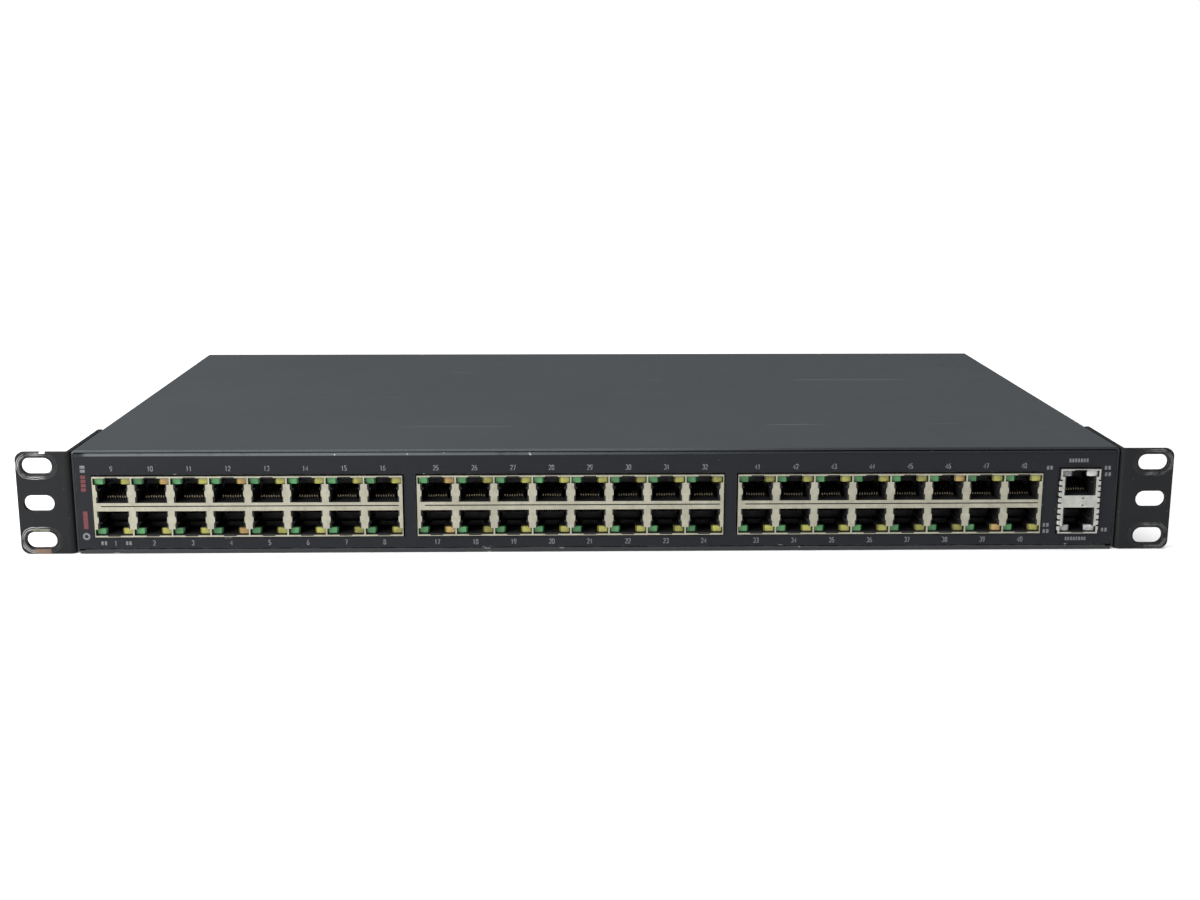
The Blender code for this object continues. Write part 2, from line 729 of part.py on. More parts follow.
def power_switch():
    """A rocker switch: a flanged frame and the rocker that tips in it about an upright pin."""
    x, z = SWITCH_X, REAR_CENTRE
    face = REAR + 2 * MM
    pivot = REAR - ROCKER_PIVOT_INSET
    frame = prism(around((x, z), 10.2 * MM, 7 * MM), "Y", REAR - 15 * MM, REAR + 1 * MM)
    flange = prism(
        rounded_rectangle((x - 12 * MM, z - 8.5 * MM), (x + 12 * MM, z + 8.5 * MM), 1.2 * MM),
        "Y",
        REAR + CLEARANCE,
        face,
    )
    join(frame, flange)
    opening = ROCKER_RADIUS + 0.35 * MM
    well = prism(around((x, z), opening, 5.6 * MM), "Y", REAR - 9 * MM, face + 1 * MM)
    bearing = rod((x, pivot), "Z", 1.5 * MM, z - 6.4 * MM, z + 6.4 * MM, 12)
    piece(cut(frame, well, bearing), "power_switch_frame", "black_plastic")
    edge, tilt = math.degrees(ROCKER_EDGE_ANGLE), math.degrees(ROCKER_TILT)
    outline = (
        arc((0, 0), ROCKER_RADIUS, -25 + tilt, edge + tilt, 5)
        + arc((0, 0), 2.4 * MM, 90 + tilt, 90 + tilt, 1)[:1]
        + arc((0, 0), ROCKER_RADIUS, 180 - edge + tilt, 205 + tilt, 5)
    )
    rocker = prism([(x + u, pivot + v) for u, v in outline], "Z", z - 5.25 * MM, z + 5.25 * MM)
    join(rocker, rod((x, pivot), "Z", 1.15 * MM, z - 6.2 * MM, z + 6.2 * MM, 12))
    piece(rocker, "power_switch_rocker", "black_plastic", (x, pivot, z))


def fan(number, x):
    """A square axial fan: its frame with the motor plate, and the bladed wheel that spins in it."""
    z, half = REAR_CENTRE, FAN_SIDE / 2
    back = REAR_INSIDE - 0.4 * MM
    front = back - FAN_DEPTH
    plate_front = back - 3 * MM
    frame = prism(
        rounded_rectangle((x - half, z - half), (x + half, z + half), 2 * MM, 2), "Y", front, back
    )
    cut(frame, rod((x, z), "Y", FAN_BORE, front - 1 * MM, back + 1 * MM, 32))
    struts = [
        prism(turned(around((0, 0), FAN_BORE + 1 * MM, 1 * MM), angle, (x, z)), "Y", plate_front, back)
        for angle in (45, 135)
    ]
    join(frame, *struts, rod((x, z), "Y", 9.5 * MM, plate_front, back, 20))
    bearing = rod((x, z), "Y", 1.8 * MM, plate_front - 1 * MM, back - 0.8 * MM, 12)
    screws = [rod(place, "Y", 1.7 * MM, front - 1 * MM, back + 1 * MM, 8) for place in fan_holes(x)]
    piece(cut(frame, bearing, gather(screws)), f"fan_{number}_frame", "black_plastic")
    wheel_back = plate_front - 0.5 * MM
    wheel_front = front + 1.5 * MM
    wheel = rod((x, z), "Y", 9.5 * MM, wheel_front, wheel_back, 20)
    join(wheel, rod((x, z), "Y", 1.5 * MM, wheel_back - 1 * MM, plate_front + 1.5 * MM, 12))
    middle = (wheel_front + wheel_back) / 2
    for i in range(7):
        join(wheel, fan_blade((x, middle, z), 360 * i / 7))
    piece(wheel, f"fan_{number}_wheel", "black_plastic", (x, middle, z))


def turned(outline, degrees, centre):
    """An outline turned about its own origin, then moved to a centre."""
    c, s = math.cos(math.radians(degrees)), math.sin(math.radians(degrees))
    return [(centre[0] + u * c - v * s, centre[1] + u * s + v * c) for u, v in outline]


def fan_blade(centre, degrees):
    """A flat blade set at 38 degrees to the wheel's plane, reaching out from the hub."""
    blade = box((8.6 * MM, -6.2 * MM, -0.6 * MM), (17.2 * MM, 6.2 * MM, 0.6 * MM))
    pitch = Matrix.Rotation(math.radians(38), 4, "X")
    spin = Matrix.Rotation(math.radians(degrees), 4, "Y")
    blade.data.transform(Matrix.Translation(centre) @ spin @ pitch)
    return blade


def fan_guard(number, x):
    """A pressed guard outside the rear wall: rings on two crossed bars that end in screw eyes."""
    z, start, end = REAR_CENTRE, REAR + CLEARANCE, REAR + 1.3 * MM
    guard = rod((x, z), "Y", 3.6 * MM, start, end, 12)
    arm = FAN_HOLE_SPREAD / 2 * math.sqrt(2)
    bars = [
        prism(turned(around((0, 0), arm, 0.8 * MM), angle, (x, z)), "Y", start, end)
        for angle in (45, 135)
    ]
    eyes = [rod(place, "Y", 3.0 * MM, start, end, 8) for place in fan_holes(x)]
    rings = []
    for radius in (7.5 * MM, 12.5 * MM, 17.5 * MM):
        ring = rod((x, z), "Y", radius + 0.6 * MM, start, end, 20)
        rings.append(cut(ring, rod((x, z), "Y", radius - 0.6 * MM, start - 1 * MM, end + 1 * MM, 20)))
    join(guard, *bars, *eyes, *rings)
    screws = [rod(place, "Y", 1.8 * MM, start - 1 * MM, end + 1 * MM, 8) for place in fan_holes(x)]
    piece(cut(guard, gather(screws)), f"fan_{number}_guard", "zinc_steel")


# ---- wiring ---------------------------------------------------------------------------------------


def wire(name, points, radius, finish_name, steps=3):
    """A round lead on a smooth curve through its points."""
    ends = [points[0], *points, points[-1]]
    path = []
    for a, b, c, d in zip(ends, ends[1:], ends[2:], ends[3:]):
        a, b, c, d = (Vector(p) for p in (a, b, c, d))
        for i in range(steps):
            t = i / steps
            path.append(
                b + t * (c - a) / 2 + t * t * (a - 2.5 * b + 2 * c - d / 2)
                + t * t * t * (1.5 * b - a / 2 - 1.5 * c + d / 2)
            )
    path.append(Vector(points[-1]))
    curve = bpy.data.curves.new(name, "CURVE")
    curve.dimensions = "3D"
    curve.bevel_depth = radius
    curve.bevel_resolution = 2
    curve.use_fill_caps = True
    spline = curve.splines.new("POLY")
    spline.points.add(len(path) - 1)
    for point, place in zip(spline.points, path):
        point.co = (*place, 1.0)
    curve.materials.append(finish(finish_name))
    made = bpy.data.objects.new(name, curve)
    bpy.context.scene.collection.objects.link(made)


def wiring():
    """Mains leads between inlet, switch, supply and case, and the cable that feeds the main board."""
    tail = REAR - 23.2 * MM
    board = BOARD_BASE + BOARD_SHEET + 1 * MM
    live, earth, neutral = INLET_X - 7 * MM, INLET_X, INLET_X + 7 * MM
    high, low = REAR_CENTRE + 2 * MM, REAR_CENTRE - 2 * MM
    switch_tail = REAR - 16 * MM
    routes = {
        "live_lead": (
            "brown_wire",
            [
                (live, tail, low),
                (live, tail - 4 * MM, low + 4 * MM),
                (-160 * MM, tail - 7 * MM, 33 * MM),
                (-140 * MM, tail - 3 * MM, 31 * MM),
                (SWITCH_X - 5 * MM, switch_tail - 6 * MM, 25 * MM),
                (SWITCH_X - 5 * MM, switch_tail, 22 * MM),
            ],
        ),
        "switched_lead": (
            "brown_wire",
            [
                (SWITCH_X + 5 * MM, switch_tail, 22 * MM),
                (SWITCH_X + 5 * MM, switch_tail - 7 * MM, 20 * MM),
                (SWITCH_X + 2 * MM, switch_tail - 12 * MM, 14 * MM),
                (-126 * MM, depth(222 * MM), 9.5 * MM),
                (-126 * MM, depth(220 * MM), board),
            ],
        ),
        "neutral_lead": (
            "blue_wire",
            [
                (neutral, tail, low),
                (neutral, tail - 4 * MM, low - 1 * MM),
                (-156 * MM, depth(224 * MM), 13 * MM),
                (-152 * MM, depth(221 * MM), board),
            ],
        ),
        "earth_lead": (
            "green_wire",
            [
                (earth, tail, high),
                (earth, tail - 4 * MM, high - 2 * MM),
                (INLET_X - 12 * MM, tail - 3 * MM, 12 * MM),
                (INLET_X - 22 * MM, tail + 4 * MM, 5 * MM),
                (INLET_X - 24 * MM, tail + 8 * MM, 2.8 * MM),
            ],
        ),
    }
    for name, (colour, points) in routes.items():
        wire(name, points, 1.1 * MM, colour)
    feed = [
        (-112 * MM, depth(160 * MM), board + 1.5 * MM),
        (-106 * MM, depth(156 * MM), 16 * MM),
        (-92 * MM, depth(146 * MM), 18 * MM),
        (-80 * MM, depth(134 * MM), 14 * MM),
        (-78 * MM, depth(130 * MM), board + 1.5 * MM),
    ]
    wire("board_feed_cable", feed, 2.2 * MM, "grey_cable")


def clear_scene():
    for old in list(bpy.data.objects):
        bpy.data.objects.remove(old)


def build():
    clear_scene()
    piece(base_pan(), "base_pan", "charcoal_paint")
    piece(front_panel(), "front_panel", "charcoal_paint")
    piece(top_cover(), "top_cover", "charcoal_paint")
    rack_ear(-1)
    rack_ear(1)
    ear_screws()
    jacks()
    main_board()
    board_standoffs()
    processor()
    memory()
    power_supply()
    mains_inlet()
    power_switch()
    for number, x in enumerate(FAN_PLACES, 1):
        fan(number, x)
        fan_guard(number, x)
    wiring()


build()
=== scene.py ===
"""The looks of a one-unit rackmount switch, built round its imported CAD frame: powder-coated case and
ears, plated jack shields with their sockets, contacts and lamps, printed numerals, and a rear wall with
inlet, rocker switch and fans."""

import math
import random

import bmesh
import bpy
from mathutils import Matrix, Vector


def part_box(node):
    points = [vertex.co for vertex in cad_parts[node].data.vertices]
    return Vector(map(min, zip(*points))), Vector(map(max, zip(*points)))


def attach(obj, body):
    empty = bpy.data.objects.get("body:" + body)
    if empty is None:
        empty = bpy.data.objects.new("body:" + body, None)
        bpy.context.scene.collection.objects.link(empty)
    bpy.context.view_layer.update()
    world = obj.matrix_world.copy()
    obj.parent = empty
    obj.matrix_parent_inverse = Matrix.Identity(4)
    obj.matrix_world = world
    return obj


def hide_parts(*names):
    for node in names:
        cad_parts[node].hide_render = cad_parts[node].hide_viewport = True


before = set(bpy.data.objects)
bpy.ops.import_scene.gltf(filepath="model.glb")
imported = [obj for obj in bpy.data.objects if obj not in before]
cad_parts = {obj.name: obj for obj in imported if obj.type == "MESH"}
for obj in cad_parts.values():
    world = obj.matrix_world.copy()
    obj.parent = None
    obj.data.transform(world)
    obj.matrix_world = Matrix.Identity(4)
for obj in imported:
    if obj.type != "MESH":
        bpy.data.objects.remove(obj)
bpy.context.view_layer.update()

MM = 0.001
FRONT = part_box("front_panel")[0].y
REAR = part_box("base_pan")[1].y
CASE = "case"
HALF_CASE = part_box("top_cover")[1].x
CASE_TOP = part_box("top_cover")[1].z
PANEL_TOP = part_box("front_panel")[1].z
PAN_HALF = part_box("base_pan")[1].x
BLOCKS = ("jack_block_1", "jack_block_2", "jack_block_3")
JACKS = {name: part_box(name + "_shield") for name in (*BLOCKS, "management_jack")}

EAR_SLOT_X, EAR_SLOT_MIDDLE, EAR_SLOT_PITCH = 232.55 * MM, 21.75 * MM, 15.875 * MM
EAR_SLOT_HALF, EAR_SLOT_RADIUS = 2.9 * MM, 3.4 * MM
FLAT_ANGLE, SMOOTH_ANGLE, SHARP_ANGLE = (math.radians(angle) for angle in (0.5, 32, 40))
MERGE_DISTANCE = 1e-6


def depth(value):
    """The Y of a place this many millimetres behind the front panel's face."""
    return FRONT + value * MM


# ---- outlines ----


def rectangle(low, high):
    return [(low[0], low[1]), (high[0], low[1]), (high[0], high[1]), (low[0], high[1])]


def around(centre, half_width, half_height):
    x, z = centre
    return rectangle((x - half_width, z - half_height), (x + half_width, z + half_height))


def centre_of(low, high):
    """The X and Z of the middle of a box."""
    return (low.x + high.x) / 2, (low.z + high.z) / 2


def arc(centre, radius, first, last, steps):
    """Points round part of a circle, angles in degrees."""
    angles = [math.radians(first + (last - first) * i / steps) for i in range(steps + 1)]
    return [(centre[0] + radius * math.cos(a), centre[1] + radius * math.sin(a)) for a in angles]


def circle(centre, radius, sides=24):
    return arc(centre, radius, 0, 360, sides)[:-1]


def stadium(centre, half_length, radius, steps=14, upright=False):
    """A slot with round ends. half_length runs from its middle to the centre of an end."""
    points = arc((half_length, 0), radius, -90, 90, steps) + arc((-half_length, 0), radius, 90, 270, steps)
    if upright:
        points = [(-v, u) for u, v in points]
    return [(centre[0] + u, centre[1] + v) for u, v in points]


def rounded(low, high, radius, steps=6):
    inner = rectangle((low[0] + radius, low[1] + radius), (high[0] - radius, high[1] - radius))
    turns = [arc(inner[(i + 1) % 4], radius, 90 * i - 90, 90 * i, steps) for i in range(4)]
    return [point for turn in turns for point in turn]


def turned(outline, degrees, centre):
    c, s = math.cos(math.radians(degrees)), math.sin(math.radians(degrees))
    return [(centre[0] + u * c - v * s, centre[1] + u * s + v * c) for u, v in outline]


# ---- shapes ----


def skin(shape, rings, closed=False):
    """Joins rings of vertices into a body, with a face at each end unless it closes on itself."""
    faces = [] if closed else [shape.faces.new(rings[0]), shape.faces.new(rings[-1])]
    for a, b in zip(rings, rings[1:] + (rings[:1] if closed else [])):
        for i in range(len(a)):
            j = (i + 1) % len(a)
            faces.append(shape.faces.new((a[i], a[j], b[j], b[i])))
    bmesh.ops.recalc_face_normals(shape, faces=faces)


def prism(outline, axis, start, end, shape=None):
    """Adds a closed prism to a shape: an outline pushed from start to end along an axis."""
    shape = shape or bmesh.new()
    at = "XYZ".index(axis)
    places = [[(*pair[:at], along, *pair[at:]) for pair in outline] for along in (start, end)]
    skin(shape, [[shape.verts.new(place) for place in ring] for ring in places])
    return shape


def box(low, high, shape=None):
    return prism(rectangle(low[:2], high[:2]), "Z", low[2], high[2], shape)


def lathe(profile, sides, matrix=Matrix()):
    """Turns (radius, height) pairs round Z into a closed body. The first and last radius are 0."""
    shape = bmesh.new()
    rings = []
    for radius, height in profile:
        count = 1 if radius == 0 else sides
        turns = [2 * math.pi * i / sides for i in range(count)]
        points = [(radius * math.cos(t), radius * math.sin(t), height) for t in turns]
        rings.append([shape.verts.new(matrix @ Vector(p)) for p in points])
    faces = []
    for a, b in zip(rings, rings[1:]):
        for i in range(sides):
            j = (i + 1) % sides
            corners = [a[i % len(a)], a[j % len(a)], b[j % len(b)], b[i % len(b)]]
            faces.append(shape.faces.new(list(dict.fromkeys(corners))))
    bmesh.ops.recalc_face_normals(shape, faces=faces)
    return shape


def neighbours(path, closed):
    """Each point of a path, between the point before it and the point after it."""
    for i, place in enumerate(path):
        before = path[i - 1] if closed or i else place
        after = path[(i + 1) % len(path)] if closed or i < len(path) - 1 else place
        yield before, place, after


def tube(path, radius, sides, shape, closed=False):
    """A round wire along a path of points."""
    rings = []
    for before, place, after in neighbours(path, closed):
        along = (Vector(after) - Vector(before)).normalized()
        side = along.orthogonal() if abs(along.y) > 0.9 else along.cross(Vector((0, 1, 0)))
        side.normalize()
        other = along.cross(side)
        ring = [Vector(place) + u * side + v * other for u, v in circle((0, 0), radius, sides)]
        rings.append([shape.verts.new(point) for point in ring])
    skin(shape, rings, closed)


def strip(path, axis, start, end, width, shape, closed=False):
    """A flat strip: a path in the plane across an axis, given a width there and swept from start to end."""
    order = {"X": (2, 0, 1), "Y": (0, 2, 1)}[axis]
    rings = []
    for before, (u, v), after in neighbours(path, closed):
        du, dv = after[0] - before[0], after[1] - before[1]
        scale = width / 2 / math.hypot(du, dv)
        near, far = (u - dv * scale, v + du * scale), (u + dv * scale, v - du * scale)
        corners = [(*near, start), (*near, end), (*far, end), (*far, start)]
        rings.append([shape.verts.new([corner[k] for k in order]) for corner in corners])
    skin(shape, rings, closed)


def as_object(shape, name="tool"):
    mesh = bpy.data.meshes.new(name)
    shape.to_mesh(mesh)
    shape.free()
    made = bpy.data.objects.new(name, mesh)
    bpy.context.scene.collection.objects.link(made)
    return made


def combine(shape, tool, operation):
    """An exact Boolean of two shapes, with the flat faces that it splits put back together."""
    target, other = as_object(shape), as_object(tool)
    modifier = target.modifiers.new(operation, "BOOLEAN")
    modifier.operation = operation
    modifier.solver = "EXACT"
    modifier.object = other
    graph = bpy.context.evaluated_depsgraph_get()
    mesh = bpy.data.meshes.new_from_object(target.evaluated_get(graph))
    result = bmesh.new()
    result.from_mesh(mesh)
    for used in (target, other):
        data = used.data
        bpy.data.objects.remove(used)
        bpy.data.meshes.remove(data)
    bpy.data.meshes.remove(mesh)
    bmesh.ops.remove_doubles(result, verts=result.verts, dist=MERGE_DISTANCE)
    bmesh.ops.dissolve_limit(result, angle_limit=FLAT_ANGLE, verts=result.verts, edges=result.edges)
    return result


def cut(shape, tool):
    return combine(shape, tool, "DIFFERENCE")


def join(shape, tool):
    return combine(shape, tool, "UNION")


def absorb(shape, part, matrix=Matrix()):
    """Moves a part by a matrix and adds it to a shape."""
    part.transform(matrix)
    mesh = bpy.data.meshes.new("part")
    part.to_mesh(mesh)
    part.free()
    shape.from_mesh(mesh)
    bpy.data.meshes.remove(mesh)


def ease(made, millimetres, segments):
    """Bevels the sharp edges of an object."""
    edge = made.modifiers.new("edges", "BEVEL")
    edge.width = millimetres * MM
    edge.segments = segments
    edge.limit_method = "ANGLE"
    edge.angle_limit = SHARP_ANGLE
    return edge


def piece(name, shape, finish, bevel=0.0, stands_for=(), body=CASE, segments=2):
    """A finished piece: its bevel, its material, the body it rides on and the CAD nodes it stands for."""
    made = as_object(shape, name)
    for used in finish if isinstance(finish, tuple) else (finish,):
        made.data.materials.append(used)
    made.data.shade_smooth()
    made.data.set_sharp_from_angle(angle=SMOOTH_ANGLE)
    if bevel:
        ease(made, bevel, segments).harden_normals = True
    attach(made, body)
    if stands_for:
        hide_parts(*stands_for)


# ---- materials ----


class Finish:
    """A material and short ways to add nodes to it."""

    def __init__(self, name):
        self.material = bpy.data.materials.new(name)
        self.material.use_nodes = True
        self.tree = self.material.node_tree
        self.shader = self.tree.nodes["Principled BSDF"]
        self.place = self.tree.nodes.new("ShaderNodeTexCoord").outputs["Object"]

    def put(self, socket, value):
        """Links a socket to another or sets its value; a colour is given its alpha."""
        if isinstance(value, bpy.types.NodeSocket):
            self.tree.links.new(value, socket)
        elif isinstance(value, tuple) and socket.type == "RGBA":
            socket.default_value = (*value, 1.0)
        elif value is not None:
            socket.default_value = value

    def node(self, kind, inputs, **settings):
        made = self.tree.nodes.new("ShaderNode" + kind)
        for key, value in settings.items():
            setattr(made, key, value)
        for key, value in inputs.items():
            self.put(made.inputs[key], value)
        return made

    def math(self, operation, a, b=None):
        return self.node("Math", {0: a, 1: b}, operation=operation).outputs[0]

    def times(self, product, *factors):
        for factor in factors:
            product = self.math("MULTIPLY", product, factor)
        return product

    def stretched(self, scale):
        return self.node("Mapping", {"Vector": self.place, "Scale": scale}).outputs[0]

    def noise(self, millimetres, detail=3.0, rough=0.5, vector=None):
        scale = 1 / (millimetres * MM)
        inputs = {"Vector": vector or self.place, "Scale": scale, "Detail": detail, "Roughness": rough}
        return self.node("TexNoise", inputs).outputs["Fac"]

    def ramp(self, value, low, high, low_out=0.0, high_out=1.0):
        inputs = {"Value": value, "From Min": low, "From Max": high, "To Min": low_out, "To Max": high_out}
        return self.node("MapRange", inputs, interpolation_type="SMOOTHSTEP").outputs[0]

    def cloud(self, millimetres, low, high):
        """A value that drifts between low and high."""
        return self.ramp(self.noise(millimetres), 0.3, 0.7, low, high)

    def mix(self, factor, a, b):
        return self.node("Mix", {"Factor": factor, 6: a, 7: b}, data_type="RGBA").outputs[2]

    def bump(self, height, millimetres, strength):
        inputs = {"Height": height, "Distance": millimetres * MM, "Strength": strength}
        return self.node("Bump", inputs).outputs[0]

    def edges(self, millimetres):
        """1 where the surface turns within this distance, 0 on the flat."""
        round_normal = self.node("Bevel", {"Radius": millimetres * MM}, samples=4).outputs[0]
        normal = self.node("NewGeometry", {}).outputs["Normal"]
        dot = self.node("VectorMath", {0: round_normal, 1: normal}, operation="DOT_PRODUCT")
        return self.ramp(dot.outputs["Value"], 0.995, 0.9)

    def axis(self, name):
        return self.node("SeparateXYZ", {"Vector": self.place}).outputs[name]

    def set(self, **sockets):
        for key, value in sockets.items():
            name = {"specular": "Specular IOR Level"}.get(key, key.replace("_", " ").title())
            self.put(self.shader.inputs[name], value)
        return self.material


def scaled(colour, factor):
    return tuple(c * factor for c in colour)


def blotched(f, colour, spread, millimetres):
    """A colour that drifts lighter and darker in soft patches."""
    patches = f.ramp(f.noise(millimetres, 4.0, 0.6), 0.3, 0.7)
    return f.mix(patches, scaled(colour, 1 - spread), scaled(colour, 1 + spread))


def powder_coat(name, colour, roughness, marks, shine=0.28):
    """Baked powder paint: a fine pebble, soft drifts of tone, specks of dust, edges rubbed pale that also
    carry a painted highlight.
    """
    f = Finish(name)
    tone = blotched(f, colour, 0.035, 70)
    tone = f.mix(f.ramp(f.noise(0.5, 2.0), 0.45, 0.8, 0.0, 0.14), tone, scaled(colour, 1.7))
    smear = f.noise(45, 5.0, 0.65, f.stretched((0.8, 0.5, 1.0)))
    tone = f.mix(f.ramp(smear, 0.58, 0.80, 0.0, 0.07), tone, scaled(colour, 2.6))
    dust = f.times(f.ramp(f.noise(0.9, 2.0), 0.70, 0.76), f.ramp(f.noise(18, 2.0), 0.5, 0.62), 0.4)
    tone = f.mix(dust, tone, (0.22, 0.22, 0.215))
    # Edge wear and painted highlight: sharp edges lightened in patches.
    edge_wear_and_sheen = f.times(f.edges(0.45), f.ramp(f.noise(3.5, 4.0, 0.7), 0.42, 0.62), 0.35)
    tone = f.mix(edge_wear_and_sheen, tone, (0.18, 0.19, 0.20))
    chipped = f.times(f.edges(0.9), f.ramp(f.noise(5.5, 3.0, 0.6), 0.68, 0.71))
    tone = marks(f, f.mix(chipped, tone, (0.34, 0.33, 0.31)))
    pebble = f.bump(f.noise(0.55, 2.0, 0.6), 0.05, 0.55)
    gloss = f.cloud(9, roughness - 0.06, roughness + 0.06)
    return f.set(base_color=tone, roughness=gloss, normal=pebble, specular=shine)


def band(f, value, low, high, soft):
    """1 between low and high, falling to 0 over a soft margin at each end."""
    return f.times(f.ramp(value, low - soft, low), f.ramp(value, high + soft, high))


def rubbed_cover(f, tone):
    """A front edge with a painted highlight on the left and painted shade on the right, painted shade on the
    cover's front lip, a dark rear edge, chips, a few scratches.
    """
    x, y, z = (f.axis(name) for name in "XYZ")
    bend = CASE_TOP - 1.3 * MM
    # Painted highlight: the cover's top front edge lighter on the left, fading to the right, broken up by
    # noise.
    edge_highlight = f.times(f.ramp(y, depth(1.5), depth(1.0)), f.ramp(x, 0.14, -0.05, 0.1, 0.65))
    edge_highlight = f.times(edge_highlight, f.ramp(z, bend, CASE_TOP - 1.0 * MM), f.ramp(f.noise(6), 0.3, 0.5, 0.6, 1.0))
    tone = f.mix(edge_highlight, tone, (0.068, 0.077, 0.083))
    # Painted shade: the cover's front edge darkened towards the right.
    right_edge_shade = f.times(f.ramp(y, depth(1.6), depth(1.1)), f.ramp(x, 0.0, 0.13, 0.0, 0.9))
    tone = f.mix(right_edge_shade, tone, (0.010, 0.011, 0.013))
    # Painted shade: the front face of the cover's lip, below the bend, darkened.
    lip_shade = f.times(f.ramp(y, depth(1.1), depth(0.9)), f.ramp(z, bend, CASE_TOP - 1.6 * MM))
    tone = f.mix(lip_shade, tone, (0.013, 0.014, 0.016))
    tone = f.mix(f.ramp(y, REAR - 2.5 * MM, REAR, 0.0, 0.5), tone, (0.028, 0.026, 0.024))
    chips = f.times(f.ramp(y, REAR - 1.1 * MM, REAR - 0.7 * MM), f.ramp(f.noise(6), 0.66, 0.68))
    tone = f.mix(chips, tone, (0.42, 0.38, 0.33))
    scratch = f.noise(22, 2.0, 0.5, f.stretched((0.08, 2.6, 1.0)))
    thin = f.times(f.ramp(scratch, 0.695, 0.70), f.ramp(f.noise(60, 2.0), 0.5, 0.6), 0.35)
    return f.mix(thin, tone, (0.15, 0.155, 0.16))


def polished_bend(f, tone):
    """The panel's top bend with a painted highlight, bright on the left and fading out to the right, and odd
    chips.
    """
    x = f.axis("X")
    high = band(f, f.axis("Z"), PANEL_TOP - 0.95 * MM, PANEL_TOP, 0.25 * MM)
    fade = f.times(f.ramp(x, 0.10, -0.12), f.ramp(x, -0.2145, -0.2115))
    patchy = f.ramp(f.noise(9, 4.0, 0.6), 0.25, 0.5, 0.55, 1.0)
    front = f.ramp(f.axis("Y"), depth(4), depth(2))
    # Painted highlight along the panel's top bend, strongest at the left.
    tone = f.mix(f.times(high, fade, patchy, front, 0.9), tone, (0.098, 0.109, 0.116))
    return f.mix(f.times(f.ramp(f.noise(3.1), 0.72, 0.74), high), tone, (0.45, 0.44, 0.42))


def slot_rings(f, tone):
    """Washer scuffs round an ear's outer slots, tan smudges at one of them, and a chipped top edge."""
    side, y, z = (f.axis(name) for name in "XYZ")
    x = f.math("ABSOLUTE", side)
    along = f.math("SUBTRACT", f.math("ABSOLUTE", f.math("SUBTRACT", x, EAR_SLOT_X)), EAR_SLOT_HALF)
    along = f.math("MAXIMUM", along, 0.0)
    across = f.math("SUBTRACT", f.math("ABSOLUTE", f.math("SUBTRACT", z, EAR_SLOT_MIDDLE)), EAR_SLOT_PITCH)
    reach = f.math("SQRT", f.math("ADD", f.math("POWER", along, 2.0), f.math("POWER", across, 2.0)))
    wander = f.times(f.math("SUBTRACT", f.noise(3.0, 2.0), 0.5), 1.1 * MM)
    reach = f.math("ADD", reach, wander)
    front = f.ramp(y, depth(1.6), depth(1.2))
    outer = f.times(f.ramp(x, 228.0 * MM, 232.5 * MM, 0.08, 1.0), f.ramp(side, 0.1, -0.1, 0.45, 1.0), front)
    scuff = f.times(band(f, reach, 4.3 * MM, 5.5 * MM, 0.35 * MM), outer)
    broad = f.times(scuff, f.ramp(f.noise(3.6, 4.0, 0.6), 0.40, 0.60), 0.7)
    tone = f.mix(broad, tone, (0.13, 0.13, 0.127))
    lines = f.ramp(f.math("SINE", f.times(reach, 2 * math.pi / (0.75 * MM))), 0.1, 0.9)
    fine = f.times(lines, scuff, f.ramp(f.noise(5.0), 0.35, 0.60))
    tone = f.mix(fine, tone, (0.36, 0.36, 0.35))
    left = f.times(f.ramp(side, 0.1, -0.1), front)
    blot = f.ramp(f.noise(1.5), 0.3, 0.6, 0.45, 0.95)
    span = f.times(band(f, x, 229.2 * MM, 235.6 * MM, 0.5 * MM), left, blot)
    tone = f.mix(f.times(f.ramp(z, 2.3 * MM, 1.9 * MM), span), tone, (0.165, 0.105, 0.075))
    tone = f.mix(f.times(band(f, z, 9.6 * MM, 10.6 * MM, 0.4 * MM), span), tone, (0.155, 0.16, 0.12))
    nick = f.times(band(f, x, 228.9 * MM, 230.9 * MM, 0.3 * MM), left, f.ramp(z, 42.7 * MM, 43.0 * MM))
    tone = f.mix(nick, tone, (0.85, 0.85, 0.83))
    specks = f.times(f.ramp(f.noise(1.3, 2.0), 0.70, 0.74), f.ramp(f.noise(9, 2.0), 0.45, 0.6), 0.6)
    return f.mix(specks, tone, (0.22, 0.22, 0.22))


def plated(name, colour, roughness, stain=(0.30, 0.27, 0.20), brush=(1.0, 1.0, 0.12)):
    """Plated sheet or wire: fine drawing lines, cloudy plating, a little tarnish in the low spots."""
    f = Finish(name)
    tone = blotched(f, colour, 0.10, 7)
    tone = f.mix(f.ramp(f.noise(2.6, 4.0, 0.65), 0.52, 0.75, 0.0, 0.5), tone, stain)
    lines = f.noise(0.35, 2.0, 0.5, f.stretched(brush))
    tone = f.mix(f.ramp(lines, 0.35, 0.7, 0.0, 0.3), tone, scaled(colour, 0.72))
    gloss = f.cloud(1.6, roughness - 0.07, roughness + 0.1)
    return f.set(base_color=tone, metallic=1.0, roughness=gloss, normal=f.bump(lines, 0.01, 0.35))


def moulded(name, colour, roughness, grain=0.35):
    """Moulded plastic: a spark-eroded grain and cloudy gloss."""
    f = Finish(name)
    tone = blotched(f, colour, 0.22, 6)
    tone = f.mix(f.ramp(f.noise(1.1), 0.55, 0.75, 0.0, 0.3), tone, scaled(colour, 1.7))
    gloss = f.cloud(2.4, roughness - 0.06, roughness + 0.06)
    return f.set(base_color=tone, roughness=gloss, normal=f.bump(f.noise(grain, 2.0), 0.015, 0.4))


